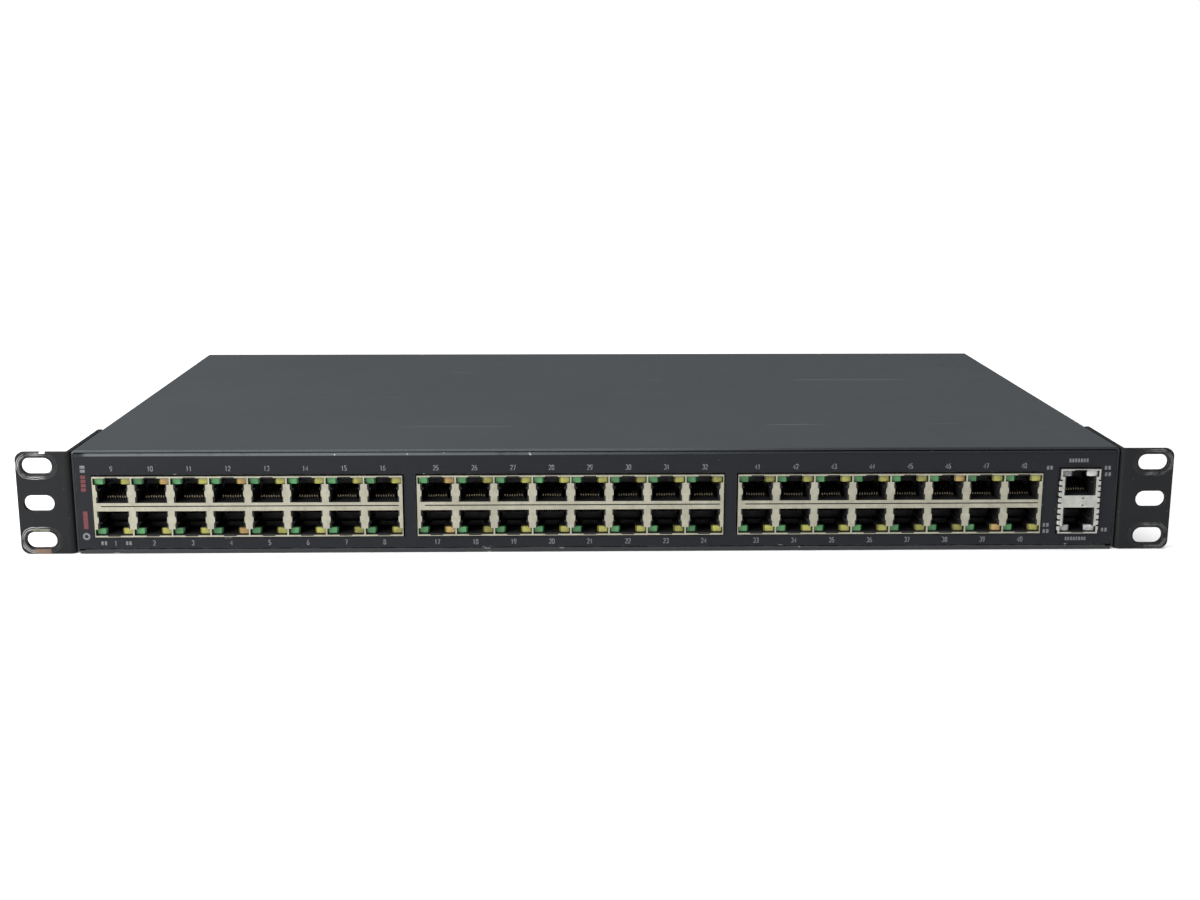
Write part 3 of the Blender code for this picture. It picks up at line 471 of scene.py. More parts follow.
def lamp_lens(name, deep, bright, glow):
    """A tinted lamp window: deeper at its rim, brighter where the light pipe sits behind it."""
    f = Finish(name)
    tone = f.mix(f.ramp(f.noise(12.0, 4.0, 0.6), 0.3, 0.66), deep, bright)
    streak = f.noise(0.9, 2.0, 0.5, f.stretched((0.5, 1.0, 2.0)))
    tone = f.mix(f.ramp(streak, 0.5, 0.75, 0.0, 0.35), tone, scaled(bright, 1.35))
    f.set(emission_color=tone, emission_strength=glow)
    return f.set(base_color=tone, roughness=f.cloud(0.9, 0.16, 0.34), normal=f.bump(streak, 0.03, 0.4))


def ink(name, colour):
    """Screen-printed ink, thin in places."""
    f = Finish(name)
    tone = f.mix(f.ramp(f.noise(0.7), 0.35, 0.6), scaled(colour, 0.62), colour)
    return f.set(base_color=tone, roughness=f.cloud(1.2, 0.5, 0.66))


def circuit_board(name):
    """Solder mask over copper: tracks in both directions, vias, and bare laminate between."""
    f = Finish(name)
    tracks = []
    for direction, scale in (("X", 420.0), ("Y", 260.0)):
        inputs = {"Vector": f.place, "Scale": scale, "Distortion": 1.2, "Detail": 1.0}
        wave = f.node("TexWave", inputs, bands_direction=direction).outputs["Fac"]
        tracks.append(f.ramp(wave, 0.55, 0.7))
    lit = f.times(f.math("MAXIMUM", *tracks), f.ramp(f.noise(14), 0.45, 0.5))
    tone = f.mix(lit, (0.010, 0.075, 0.032), (0.018, 0.15, 0.06))
    dots = f.node("TexVoronoi", {"Vector": f.place, "Scale": 350.0}).outputs["Distance"]
    tone = f.mix(f.ramp(dots, 0.16, 0.12), tone, (0.55, 0.52, 0.45))
    gloss = f.ramp(dots, 0.1, 0.3, 0.25, 0.42)
    return f.set(base_color=tone, roughness=gloss, normal=f.bump(lit, 0.035, 0.6))


def wound(name, dark, light, millimetres, metallic=0.0):
    """Fine parallel turns or strands: a winding, a braid, or the lay of a lead's insulation."""
    f = Finish(name)
    inputs = {"Vector": f.place, "Scale": 1 / (millimetres * MM), "Distortion": 0.6, "Detail": 2.0}
    turns = f.node("TexWave", inputs, bands_direction="DIAGONAL").outputs["Fac"]
    tone = f.mix(f.ramp(turns, 0.2, 0.8), dark, light)
    f.set(base_color=tone, metallic=metallic)
    return f.set(roughness=f.cloud(2.0, 0.34, 0.5), normal=f.bump(turns, 0.08, 0.5))


# The cover's paint is set several times lighter than the panel's and the ears'. Part of this is their own
# two tones and part is painted light: the top stands in for a lit face and the front for a shaded one.
COVER_PAINT = powder_coat("cover_powder_coat", (0.0455, 0.0515, 0.0560), 0.50, rubbed_cover)
PANEL_PAINT = powder_coat("panel_powder_coat", (0.0082, 0.0090, 0.0122), 0.52, polished_bend, 0.20)
PAN_PAINT = powder_coat("pan_powder_coat", (0.026, 0.027, 0.029), 0.52, lambda f, tone: tone)
EAR_PAINT = powder_coat("ear_powder_coat", (0.0080, 0.0085, 0.0095), 0.50, slot_rings, 0.19)
TIN = plated("tinned_shield", (0.388, 0.375, 0.300), 0.42, (0.245, 0.23, 0.146))
BRIGHT_TIN = plated("bright_shield", (0.43, 0.43, 0.405), 0.38)
ZINC = plated("zinc_plate", (0.60, 0.61, 0.62), 0.36, (0.36, 0.35, 0.31))
GOLD = plated("contact_gold", (0.30, 0.25, 0.17), 0.34, (0.12, 0.09, 0.05), (1.0, 0.2, 1.0))
BRASS = plated("blade_brass", (0.72, 0.60, 0.36), 0.30, (0.42, 0.30, 0.14))
ALUMINIUM = plated("extruded_aluminium", (0.72, 0.73, 0.74), 0.38, (0.5, 0.5, 0.5), (1.0, 0.1, 1.0))
HOUSING = moulded("jack_plastic", (0.0050, 0.0050, 0.0058), 0.56)
BLACK = moulded("rear_plastic", (0.013, 0.013, 0.014), 0.45)
# The rotor's plastic is set lighter than the other black plastic as painted light, so the blades show in the
# bore where little light reaches.
ROTOR = moulded("rotor_plastic", (0.045, 0.045, 0.048), 0.36)
CHIP = moulded("chip_package", (0.018, 0.018, 0.019), 0.55, 0.25)
GREEN = lamp_lens("green_lens", (0.018, 0.105, 0.030), (0.058, 0.225, 0.070), 0.20)
YELLOW = lamp_lens("yellow_lens", (0.13, 0.125, 0.018), (0.285, 0.285, 0.058), 0.20)
AMBER = lamp_lens("amber_lens", (0.17, 0.10, 0.022), (0.36, 0.235, 0.075), 0.20)
DEEP_GREEN = lamp_lens("deep_green_lens", (0.004, 0.035, 0.012), (0.012, 0.085, 0.03), 0.1)
DEEP_YELLOW = lamp_lens("deep_yellow_lens", (0.05, 0.045, 0.006), (0.13, 0.12, 0.02), 0.1)
WHITE_LAMP = lamp_lens("white_lens", (0.13, 0.13, 0.13), (0.50, 0.50, 0.49), 0.06)
PRINT = ink("grey_print", (0.16, 0.16, 0.18))
RED_PRINT = ink("red_print", (0.125, 0.020, 0.023))
BOARD = circuit_board("solder_mask")
SLEEVE = moulded("capacitor_sleeve", (0.012, 0.018, 0.06), 0.3, 0.8)
COPPER = wound("copper_turns", (0.22, 0.08, 0.03), (0.72, 0.36, 0.16), 1.2, 0.8)
LEADS = {
    "live_lead": wound("brown_insulation", (0.09, 0.035, 0.015), (0.17, 0.07, 0.03), 0.9),
    "switched_lead": wound("brown_insulation_2", (0.085, 0.032, 0.014), (0.16, 0.065, 0.028), 0.9),
    "neutral_lead": wound("blue_insulation", (0.012, 0.05, 0.24), (0.03, 0.11, 0.42), 0.9),
    "earth_lead": wound("green_yellow_insulation", (0.04, 0.22, 0.03), (0.55, 0.50, 0.04), 3.0),
    "board_feed_cable": wound("grey_braid", (0.14, 0.14, 0.145), (0.34, 0.34, 0.35), 0.6),
}


# ---- case ----


def screw_axes():
    """(side, Y, Z) of each ear screw."""
    for word, side in (("left", -1), ("right", 1)):
        for i in (1, 2, 3):
            low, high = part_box(f"{word}_ear_screw_{i}")
            yield side, (low.y + high.y) / 2, (low.z + high.z) / 2


def ear_holes():
    """Round tools for the ear screws' holes, through both side walls."""
    shape = bmesh.new()
    for side, y, z in screw_axes():
        wall = side * HALF_CASE
        prism(circle((y, z), 2.1 * MM, 20), "X", wall - 6 * MM, wall + 6 * MM, shape)
    return shape


def top_cover():
    sheet, bend, low = 1.0 * MM, 1.6 * MM, 0.6 * MM
    first_vent, vent_pitch, vent_level = 110, 9, 25 * MM
    x, z = HALF_CASE - bend, CASE_TOP - bend
    outline = [
        (HALF_CASE, low),
        *arc((x, z), bend, 0, 90, 8),
        *arc((-x, z), bend, 90, 180, 8),
        (-HALF_CASE, low),
        (-HALF_CASE + sheet, low),
        *reversed(arc((-x, z), bend - sheet, 90, 180, 4)),
        *reversed(arc((x, z), bend - sheet, 0, 90, 4)),
        (HALF_CASE - sheet, low),
    ]
    shape = prism(outline, "Y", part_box("top_cover")[0].y, REAR)
    vents = bmesh.new()
    for side in (-HALF_CASE, HALF_CASE):
        for i in range(14):
            place = (depth(first_vent + vent_pitch * i), vent_level)
            vent = stadium(place, 7.7 * MM, 1.3 * MM, 6, upright=True)
            prism(vent, "X", side - 4 * MM, side + 4 * MM, vents)
    shape = cut(cut(shape, vents), ear_holes())
    piece("cover_shell", shape, COVER_PAINT, 0.22, ["top_cover"])


def front_panel():
    sheet, bend, lip, gap = 1.2, 1.5, 11, 0.5 * MM
    corner = (depth(bend), PANEL_TOP - bend * MM)
    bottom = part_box("front_panel")[0].z
    outline = [
        (depth(0), bottom),
        *reversed(arc(corner, bend * MM, 90, 180, 8)),
        (depth(lip), PANEL_TOP),
        (depth(lip), PANEL_TOP - sheet * MM),
        *arc(corner, (bend - sheet) * MM, 90, 180, 3),
        (depth(sheet), bottom),
    ]
    shape = prism(outline, "X", -PAN_HALF, PAN_HALF)
    tabs = bmesh.new()
    for side in (-1, 1):
        near, far = sorted((side * (PAN_HALF - 2 * MM), side * (PAN_HALF - 3.2 * MM)))
        box((near, depth(0.6), 7 * MM), (far, depth(10), 37 * MM), tabs)
    windows = bmesh.new()
    for low, high in JACKS.values():
        box((low.x - gap, depth(-2), low.z - gap), (high.x + gap, depth(2.2), high.z + gap), windows)
    shape = cut(join(shape, tabs), windows)
    piece("front_sheet", shape, PANEL_PAINT, 0.12, ["front_panel"])


def rack_ear(word, side):
    low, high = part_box(f"{word}_rack_ear")
    inner, outer = sorted((abs(low.x), abs(high.x)))
    sheet, bend, corner = 2.0 * MM, 2.6 * MM, 3.5 * MM
    centre = (inner + bend, FRONT + bend)
    outline = [
        (outer, FRONT),
        (outer, FRONT + sheet),
        *reversed(arc(centre, bend - sheet, 180, 270, 4)),
        (inner + sheet, high.y),
        (inner, high.y),
        *arc(centre, bend, 180, 270, 9),
    ]
    shape = prism([(side * x, y) for x, y in outline], "Z", low.z, high.z)
    slots = bmesh.new()
    for row in (-1, 0, 1):
        place = (side * EAR_SLOT_X, EAR_SLOT_MIDDLE + row * EAR_SLOT_PITCH)
        prism(stadium(place, EAR_SLOT_HALF, EAR_SLOT_RADIUS), "Y", depth(-1), depth(3), slots)
    wall = side * inner
    ends = (("Y", side * outer, side, depth(-1), depth(3)), ("X", high.y, 1, wall - 4 * MM, wall + 4 * MM))
    turns = [math.pi / 2 * i / 8 for i in range(9)]
    corners = bmesh.new()
    for edge, up in ((low.z, 1), (high.z, -1)):
        z, past_z = edge + up * corner, edge - up * corner
        for axis, far, out, start, end in ends:
            near, past = far - out * corner, far + out * corner
            curve = [(near + out * corner * math.sin(t), z - up * corner * math.cos(t)) for t in turns]
            prism(curve + [(past, z), (past, past_z), (near, past_z)], axis, start, end, corners)
    shape = cut(cut(cut(shape, slots), corners), ear_holes())
    piece(f"{word}_ear_bracket", shape, EAR_PAINT, 0.3, [f"{word}_rack_ear"], segments=3)


def screw_shape(radius, height):
    """A domed screw head with a crossed recess, standing on Z = 0."""
    brim = 0.42
    profile = [(0, 0), (radius * 0.96, 0), (radius, height * 0.12), (radius, height * brim)]
    for turn in (math.radians(angle) for angle in (18, 36, 54, 72)):
        profile.append((radius * math.cos(turn) ** 0.8, height * (brim + (1 - brim) * math.sin(turn))))
    arm, wide = radius * 0.55, radius * 0.11
    cross = [(wide, wide), (arm, wide), (arm, -wide)]
    for _ in range(3):
        cross += [(v, -u) for u, v in cross[-3:]]
    return cut(lathe(profile + [(0, height)], 24), prism(cross, "Z", height * 0.45, height * 1.5))


def screws(name, places, radius, height, stands_for=(), shank=0.0):
    """Copies of one screw head at (position, outward direction, turn) places, as one piece."""
    master = screw_shape(radius, height)
    if shank:
        rod, top = radius * 0.47, height * 0.1
        master = join(master, lathe([(0, -shank), (rod, -shank), (rod, top), (0, top)], 16))
    shape = bmesh.new()
    for place, outward, turn in places:
        aim = Vector(outward).to_track_quat("Z", "Y").to_matrix().to_4x4() @ Matrix.Rotation(turn, 4, "Z")
        absorb(shape, master.copy(), Matrix.Translation(place) @ aim)
    master.free()
    piece(name, shape, ZINC, 0.0, stands_for)


def case_screws(dice):
    seat = HALF_CASE + 2.5 * MM
    for word, side in (("left", -1), ("right", 1)):
        out = (side, 0, 0)
        places = [((side * seat, y, z), out, dice.uniform(0, 6)) for s, y, z in screw_axes() if s == side]
        nodes = [f"{word}_ear_screw_{i}" for i in (1, 2, 3)]
        screws(f"{word}_ear_screws", places, 3.4 * MM, 1.9 * MM, nodes, shank=8 * MM)
        places = [((side * HALF_CASE, depth(d), 22 * MM), out, dice.uniform(0, 6)) for d in (86, 240)]
        screws(f"{word}_cover_screws", places, 2.7 * MM, 1.2 * MM)


# ---- jacks ----

PITCH = 16.0
LOWER_ROW, UPPER_ROW = (8.35, 18.45), (21.95, 32.05)
CONTACT_PITCH = 1.02


def columns(low, high, count):
    middle = (low.x + high.x) / 2 / MM
    return [middle + (i - (count - 1) / 2) * PITCH for i in range(count)]


def sockets(columns_x, rows):
    """Each socket's column, row and way up; the lower row's sockets are upside down."""
    for x in columns_x:
        for row, flip in zip(rows, (True, False)):
            yield x, row, flip


def contact_side(row, flip):
    """The level of the wall that a socket's contacts lie on, and the direction into the socket from it."""
    return (row[1] - 0.1, -1) if flip else (row[0] + 0.1, 1)


def mirrored(right, x, low, tall, flip):
    """A socket's outline in metres, from its right half in millimetres."""
    points = right + [(-u, v) for u, v in reversed(right)]
    if flip:
        points = [(u, tall - v) for u, v in reversed(points)]
    return [((x + u) * MM, (low + v) * MM) for u, v in points]


def window(x, row, flip, rim, bulge):
    """A shield's window: spring bulges at the sides, lamp corners, and a latch notch into the rim."""
    half, lamp_half, latch = 6.6, 7.68, 2.45
    tall = row[1] - row[0]
    step = tall - 2.35
    right = [
        (half, 0),
        (half, 2.3),
        (half - bulge, 2.75),
        (half - bulge, 4.5),
        (half - bulge * 0.5, 5.2),
        (half, 5.5),
        (half, step),
        (lamp_half, step + 0.1),
        (lamp_half, tall + rim * 0.5),
        (latch + 0.35, tall + rim * 0.5),
        (latch, tall + rim),
    ]
    return mirrored(right, x, row[0], tall, flip)


def pocket(x, row, flip):
    """A socket's opening in the moulding, with room for a lamp in its two outer corners."""
    half, lamp_half = 6.0, 7.5
    low, high = row[0] + 0.1, row[1] - 0.1
    tall = high - low
    step = tall - 2.3
    right = [(half, 0), (half, step), (lamp_half, step), (lamp_half, tall + 0.3)]
    return mirrored(right, x, low, tall, flip)


def shield(name, columns_x, rows, rim, bulge, slit):
    """A jack's folded metal can, open below, with a window for each socket."""
    low, high = JACKS[name]
    sheet, reach = 0.3 * MM, 1 * MM
    inside = (low.x + sheet, low.y + sheet, low.z - reach), (high.x - sheet, high.y - sheet, high.z - sheet)
    windows = bmesh.new()
    for x, row, flip in sockets(columns_x, rows):
        prism(window(x, row, flip, rim, bulge), "Y", low.y - reach, low.y + reach, windows)
    if slit:
        level, half = (rows[1][0] - 1.45) * MM, 0.23 * MM
        near = (low.x + 3.2 * MM, low.y - reach, level - half)
        box(near, (high.x - 1.6 * MM, low.y + reach, level + half), windows)
    return cut(cut(box(low, high), box(*inside)), windows)


def housing(name, columns_x, rows):
    """The black moulding: pockets with sloped sills at their mouths."""
    low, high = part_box(name + "_housing")
    pockets = bmesh.new()
    sills = bmesh.new()
    for x, row, flip in sockets(columns_x, rows):
        prism(pocket(x, row, flip), "Y", low.y - 1 * MM, depth(14), pockets)
        floor, up = contact_side(row, flip)
        mouth, under = low.y - 0.1 * MM, (floor + up * 0.2) * MM
        wedge = [(mouth, (floor - up * 0.5) * MM), (mouth, under), (low.y + 1.6 * MM, under)]
        prism(wedge, "X", (x - 5.6) * MM, (x + 5.6) * MM, sills)
    return cut(cut(box(low, high), pockets), sills)


def socket_fittings(columns_x, rows):
    """Inside each socket: side guide ribs, and fins between the contacts."""
    back, half_fin = depth(13.9), 0.17
    shape = bmesh.new()
    for x, row, flip in sockets(columns_x, rows):
        floor, up = contact_side(row, flip)
        bottom, top = sorted((floor + up * 4.9, floor + up * 5.7))
        for side in (-1, 1):
            left, right = sorted((x + side * 6.0, x + side * 5.35))
            box((left * MM, depth(0.6), bottom * MM), (right * MM, back, top * MM), shape)
        profile = ((depth(4.2), 0.02), (depth(5.4), 1.3), (back, 4.6), (back, 0.02))
        outline = [(y, (floor + up * rise) * MM) for y, rise in profile]
        for i in range(9):
            fin = x + (i - 4) * CONTACT_PITCH
            prism(outline, "X", (fin - half_fin) * MM, (fin + half_fin) * MM, shape)
    return shape


def contacts(columns_x, rows, dice):
    """Eight sprung wires per socket, bent at the front and rising towards the back."""
    shape = bmesh.new()
    path = [(7.2, 0.1), (6.2, 0.3), (5.5, 0.8), (5.6, 1.4), (6.6, 1.9), (13.2, 4.4)]
    for x, row, flip in sockets(columns_x, rows):
        floor, up = contact_side(row, flip)
        for i in range(8):
            centre = (x + (i - 3.5) * CONTACT_PITCH) * MM
            lift = dice.uniform(-0.08, 0.08)
            points = [(depth(y + lift), (floor + up * (z + lift)) * MM) for y, z in path]
            strip(points, "X", centre - 0.2 * MM, centre + 0.2 * MM, 0.28 * MM, shape)
    return shape


LENS_DEPTH = 1.3 * MM


def lens(x, side, front, reach, shape):
    """One lamp window in a corner: a domed bright outer part and a deeper, set-back inner part."""
    back, gap = front + LENS_DEPTH, 0.05 * MM
    edge, split, inner = ((x + side * u) * MM for u in (7.4, 3.8, 3.15))
    dome = [(0.0, 0.14), (0.15, 0.03), (0.4, 0.0), (0.75, 0.0), (1.0, 0.08)]
    outline = [(edge + (split - edge) * share, front + drop * MM) for share, drop in dome]
    prism(outline + [(split, back), (edge, back)], "Z", *reach, shape)
    first = len(shape.faces)
    outline = [(split, front + 0.12 * MM), (inner, front + 0.75 * MM), (inner, back), (split, back)]
    prism(outline, "Z", reach[0] + gap, reach[1] - gap, shape)
    shape.faces.ensure_lookup_table()
    for face in shape.faces[first:]:
        face.material_index = 1


# The (row, column) places, in each block, of sockets whose right lamp is amber.
AMBER_LAMPS = {
    "jack_block_1": ((1, 1), (1, 3), (0, 3)),
    "jack_block_2": ((1, 0), (0, 0)),
    "jack_block_3": ((1, 5), (0, 6)),
}
PIPE_RAIL = depth(10.98)


def lamps(name, columns_x, finishes):
    """The lamp windows of both rows, one piece for each colour, and the rail that joins them."""
    for row, word in ((0, "lower"), (1, "upper")):
        node = f"{name}_{word}_light_pipes"
        low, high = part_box(node)
        rail = box((low.x, PIPE_RAIL, low.z), high)
        hoods = bmesh.new()
        groups = {}
        for i, x in enumerate(columns_x):
            for side, colour in ((-1, "left"), (1, "right")):
                if colour == "right" and (row, i) in AMBER_LAMPS.get(name, ()):
                    colour = "amber"
                groups.setdefault(colour, []).append((x, side))
                left, right = sorted(((x + side * 3.2) * MM, (x + side * 7.3) * MM))
                box((left, low.y + LENS_DEPTH, low.z), (right, PIPE_RAIL, high.z), hoods)
        piece(f"{name}_{word}_pipe_rail", rail, HOUSING, 0.15, [node])
        piece(f"{name}_{word}_pipe_hoods", hoods, HOUSING, 0.1)
        reach = (low.z - 0.3 * MM, high.z) if row == 0 else (low.z, high.z + 0.3 * MM)
        for colour, places in groups.items():
            shape = bmesh.new()
            for x, side in places:
                lens(x, side, low.y, reach, shape)
            piece(f"{name}_{word}_{colour}_lamps", shape, finishes[colour], 0.1)


def behind_windows(name, columns_x, rows, dice):
    """The moulding of a jack, with its ribs, fins and contacts."""
    shape = housing(name, columns_x, rows)
    piece(f"{name}_moulding", shape, HOUSING, 0.0, [name + "_housing"])
    piece(f"{name}_fittings", socket_fittings(columns_x, rows), HOUSING, 0.0)
    piece(f"{name}_contacts", contacts(columns_x, rows, dice), GOLD)


def jack_block(name, dice):
    xs = columns(*JACKS[name], 8)
    rows = (LOWER_ROW, UPPER_ROW)
    shape = shield(name, xs, rows, 0.82, 0.48, True)
    piece(f"{name}_can", shape, TIN, 0.1, [name + "_shield"])
    behind_windows(name, xs, rows, dice)
    right, amber = (YELLOW, DEEP_YELLOW), (AMBER, DEEP_YELLOW)
    lamps(name, xs, {"left": (GREEN, DEEP_GREEN), "right": right, "amber": amber})


FINGER_PITCH = 2.45


def management_jack(dice):
    name = "management_jack"
    low, high = JACKS[name]
    xs = columns(low, high, 1)
    rows = ((low.z / MM + 0.9, low.z / MM + 11.3), (high.z / MM - 11.3, high.z / MM - 0.9))
    between = (rows[0][1] + rows[1][0]) / 2
    cuts = bmesh.new()
    for middle in (between - 1.5, between + 1.5):
        dimple = [((xs[0] + u) * MM, (middle + v) * MM) for u, v in ((0.9, -0.35), (2.1, -0.35), (1.5, 0.4))]
        prism(dimple, "Y", low.y - 1 * MM, low.y + 1 * MM, cuts)
    half_wide, half_tall, half_finger = 0.85 * MM, 0.3 * MM, 0.8 * MM
    for x in (low.x, high.x):
        for i in range(1, 10):
            z = low.z + (0.975 + FINGER_PITCH * i) * MM
            near = (x - half_wide, low.y - 1 * MM, z - half_tall)
            box(near, (x + half_wide, low.y + 3 * MM, z + half_tall), cuts)
    shape = cut(shield(name, xs, rows, 0.62, 0.0, False), cuts)
    piece(f"{name}_can", shape, BRIGHT_TIN, 0.06, [name + "_shield"])
    fingers = bmesh.new()
    bow = ((0, 0.05), (0.42, 0.35), (0.48, 1.2), (0.25, 5), (0, 5))
    for side, x in ((-1, low.x), (1, high.x)):
        outline = [(x + side * out * MM, low.y + back * MM) for out, back in bow]
        for i in range(9):
            z = low.z + (2.2 + FINGER_PITCH * i) * MM
            prism(outline, "Z", z - half_finger, z + half_finger, fingers)
    piece(f"{name}_spring_fingers", fingers, BRIGHT_TIN, 0.04)
    behind_windows(name, xs, rows, dice)
    lamps(name, xs, {"left": (WHITE_LAMP, WHITE_LAMP), "right": (WHITE_LAMP, WHITE_LAMP)})


# ---- print ----


INK_FACE = depth(-0.024)
UPPER_BOWL, LOWER_BOWL = (0.26, 0.75), (0.26, 0.27)
STEM = [(0.005, 0.30), (0.05, 0.62), (0.19, 0.87), (0.42, 1.0)]
STROKES = {
    "0": [(arc((0.26, 0.74), 0.26, 0, 180, 6) + arc((0.26, 0.26), 0.26, 180, 360, 6), True)],
    "1": [([(0.06, 0.80), (0.28, 1.0), (0.28, 0.0)], False)],
    "2": [(arc((0.26, 0.74), 0.26, 165, -30, 7) + [(0.0, 0.0), (0.52, 0.0)], False)],
    "3": [(arc((0.25, 0.76), 0.24, 150, -75, 7), False), (arc(LOWER_BOWL, 0.265, 80, -150, 7), False)],
    "4": [([(0.40, 0.0), (0.40, 1.0), (0.0, 0.30), (0.54, 0.30)], False)],
    "5": [([(0.48, 1.0), (0.07, 1.0), (0.05, 0.52)] + arc((0.25, 0.29), 0.28, 115, -150, 7), False)],
    "6": [(circle(LOWER_BOWL, 0.265, 12), True), (STEM, False)],
    "7": [([(0.0, 1.0), (0.52, 1.0), (0.18, 0.0)], False)],
    "8": [(circle(UPPER_BOWL, 0.235, 12), True), (circle(LOWER_BOWL, 0.265, 12), True)],
    "9": [(circle((0.26, 0.73), 0.265, 12), True), ([(0.52 - u, 1 - v) for u, v in STEM], False)],
}


def numeral(text, x, z, height, shape):
    """Adds a printed numeral, centred, a hair proud of the front panel."""
    advance, width, narrow = 0.61 * height, 0.42 * height, 0.8 * height
    left = x - (advance * (len(text) - 1) + width) / 2
    for i, digit in enumerate(text):
        start = left + advance * i
        for path, closed in STROKES[digit]:
            points = [((start + u * narrow) * MM, (z + (v - 0.5) * height) * MM) for u, v in path]
            strip(points, "Y", INK_FACE, FRONT, 0.34 * MM, shape, closed)


def mark(x, z, half_width, half_height, shape):
    prism(around((x * MM, z * MM), half_width * MM, half_height * MM), "Y", INK_FACE, FRONT, shape)


def printing():
    """The port numbers, and small bars where a real front has words."""
    numbers = bmesh.new()
    count = 1
    for name in BLOCKS:
        for z in (4.45, 36.3):
            for x in columns(*JACKS[name], 8):
                numeral(str(count), x, z, 2.05, numbers)
                count += 1
    piece("port_numerals", numbers, PRINT)
    marks = bmesh.new()
    for i in range(7):
        mark(197.4 + 1.2 * i, 38.5, 0.42, 0.8, marks)
    for i in range(8):
        mark(197.6 + 1.15 * i, 4.6, 0.4, 0.75, marks)
    for x, z in ((188.9, 35.4), (188.7, 10.6), (188.8, 7.9), (213.4, 35.3), (213.6, 32.5), (213.6, 8.4)):
        for step in (-0.75, 0.75):
            mark(x + step, z, 0.5, 0.8, marks)
    for x in (-206.8, -196.6):
        for step in (-0.7, 0.7):
            mark(x + step, 4.45, 0.45, 0.8, marks)
    margin = -213.8
    for z in (35.4, 37.1):
        mark(margin, z, 1.0, 0.62, marks)
    centre = (-213.9 * MM, 7.4 * MM)
    hole = prism(circle(centre, 0.75 * MM), "Y", depth(-1), depth(1))
    absorb(marks, cut(prism(circle(centre, 1.55 * MM), "Y", INK_FACE, FRONT), hole))
    piece("grey_marks", marks, PRINT)
    red = bmesh.new()
    for z in (27.4, 29.2, 31.0, 32.8):
        mark(margin, z, 1.0, 0.72, red)
    mark(margin, 14.4, 0.95, 3.8, red)
    piece("red_marks", red, RED_PRINT)


# ---- rear wall ----

FLANGE_BACK = REAR + 0.3 * MM


def mains_inlet():
    """A three-blade inlet with a screwed flange."""
    low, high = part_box("mains_inlet")
    x, z = centre_of(low, high)
    face, back = high.y, low.y
    flange_wide, flange_tall, screw_reach = 24.5 * MM, 11.2 * MM, 20 * MM
    half, tall, corner = 12 * MM, 8.2 * MM, 4 * MM
    shape = prism(around((x, z), 13.4 * MM, 9.7 * MM), "Y", back, REAR + 1 * MM)
    flange = rounded((x - flange_wide, z - flange_tall), (x + flange_wide, z + flange_tall), 3 * MM)
    shape = join(shape, prism(flange, "Y", FLANGE_BACK, face))
    right = [(half, -tall), (half, tall - corner), (half - corner, tall)]
    outline = [(x + u, z + v) for u, v in right + [(-u, v) for u, v in reversed(right)]]
    socket = prism(outline, "Y", back + 3 * MM, face + 1 * MM)
    for side in (-1, 1):
        prism(circle((x + side * screw_reach, z), 1.8 * MM), "Y", REAR, face + 1 * MM, socket)
    blades = ["mains_inlet_live_blade", "mains_inlet_earth_blade", "mains_inlet_neutral_blade"]
    for node in blades:
        a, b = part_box(node)
        hole = around(centre_of(a, b), (b.x - a.x) / 2 + 0.3 * MM, (b.z - a.z) / 2 + 0.3 * MM)
        prism(hole, "Y", back - 1 * MM, back + 4 * MM, socket)
    piece("inlet_moulding", cut(shape, socket), BLACK, 0.25, ["mains_inlet"])
    for node in blades:
        a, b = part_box(node)
        shoulder, point = b.y - 1.2 * MM, 0.5 * MM
        tip = [(b.x, shoulder), (b.x - point, b.y), (a.x + point, b.y), (a.x, shoulder)]
        outline = [(a.x, a.y), (b.x, a.y), *tip]
        shape = prism(outline, "Z", a.z, b.z)
        piece(node.replace("mains_inlet", "inlet") + "_plated", shape, BRASS, 0.2, [node])
    places = [((x + side * screw_reach, face, z), (0, 1, 0), 0.4 * side) for side in (-1, 1)]
    screws("inlet_screws", places, 2.9 * MM, 1.5 * MM)


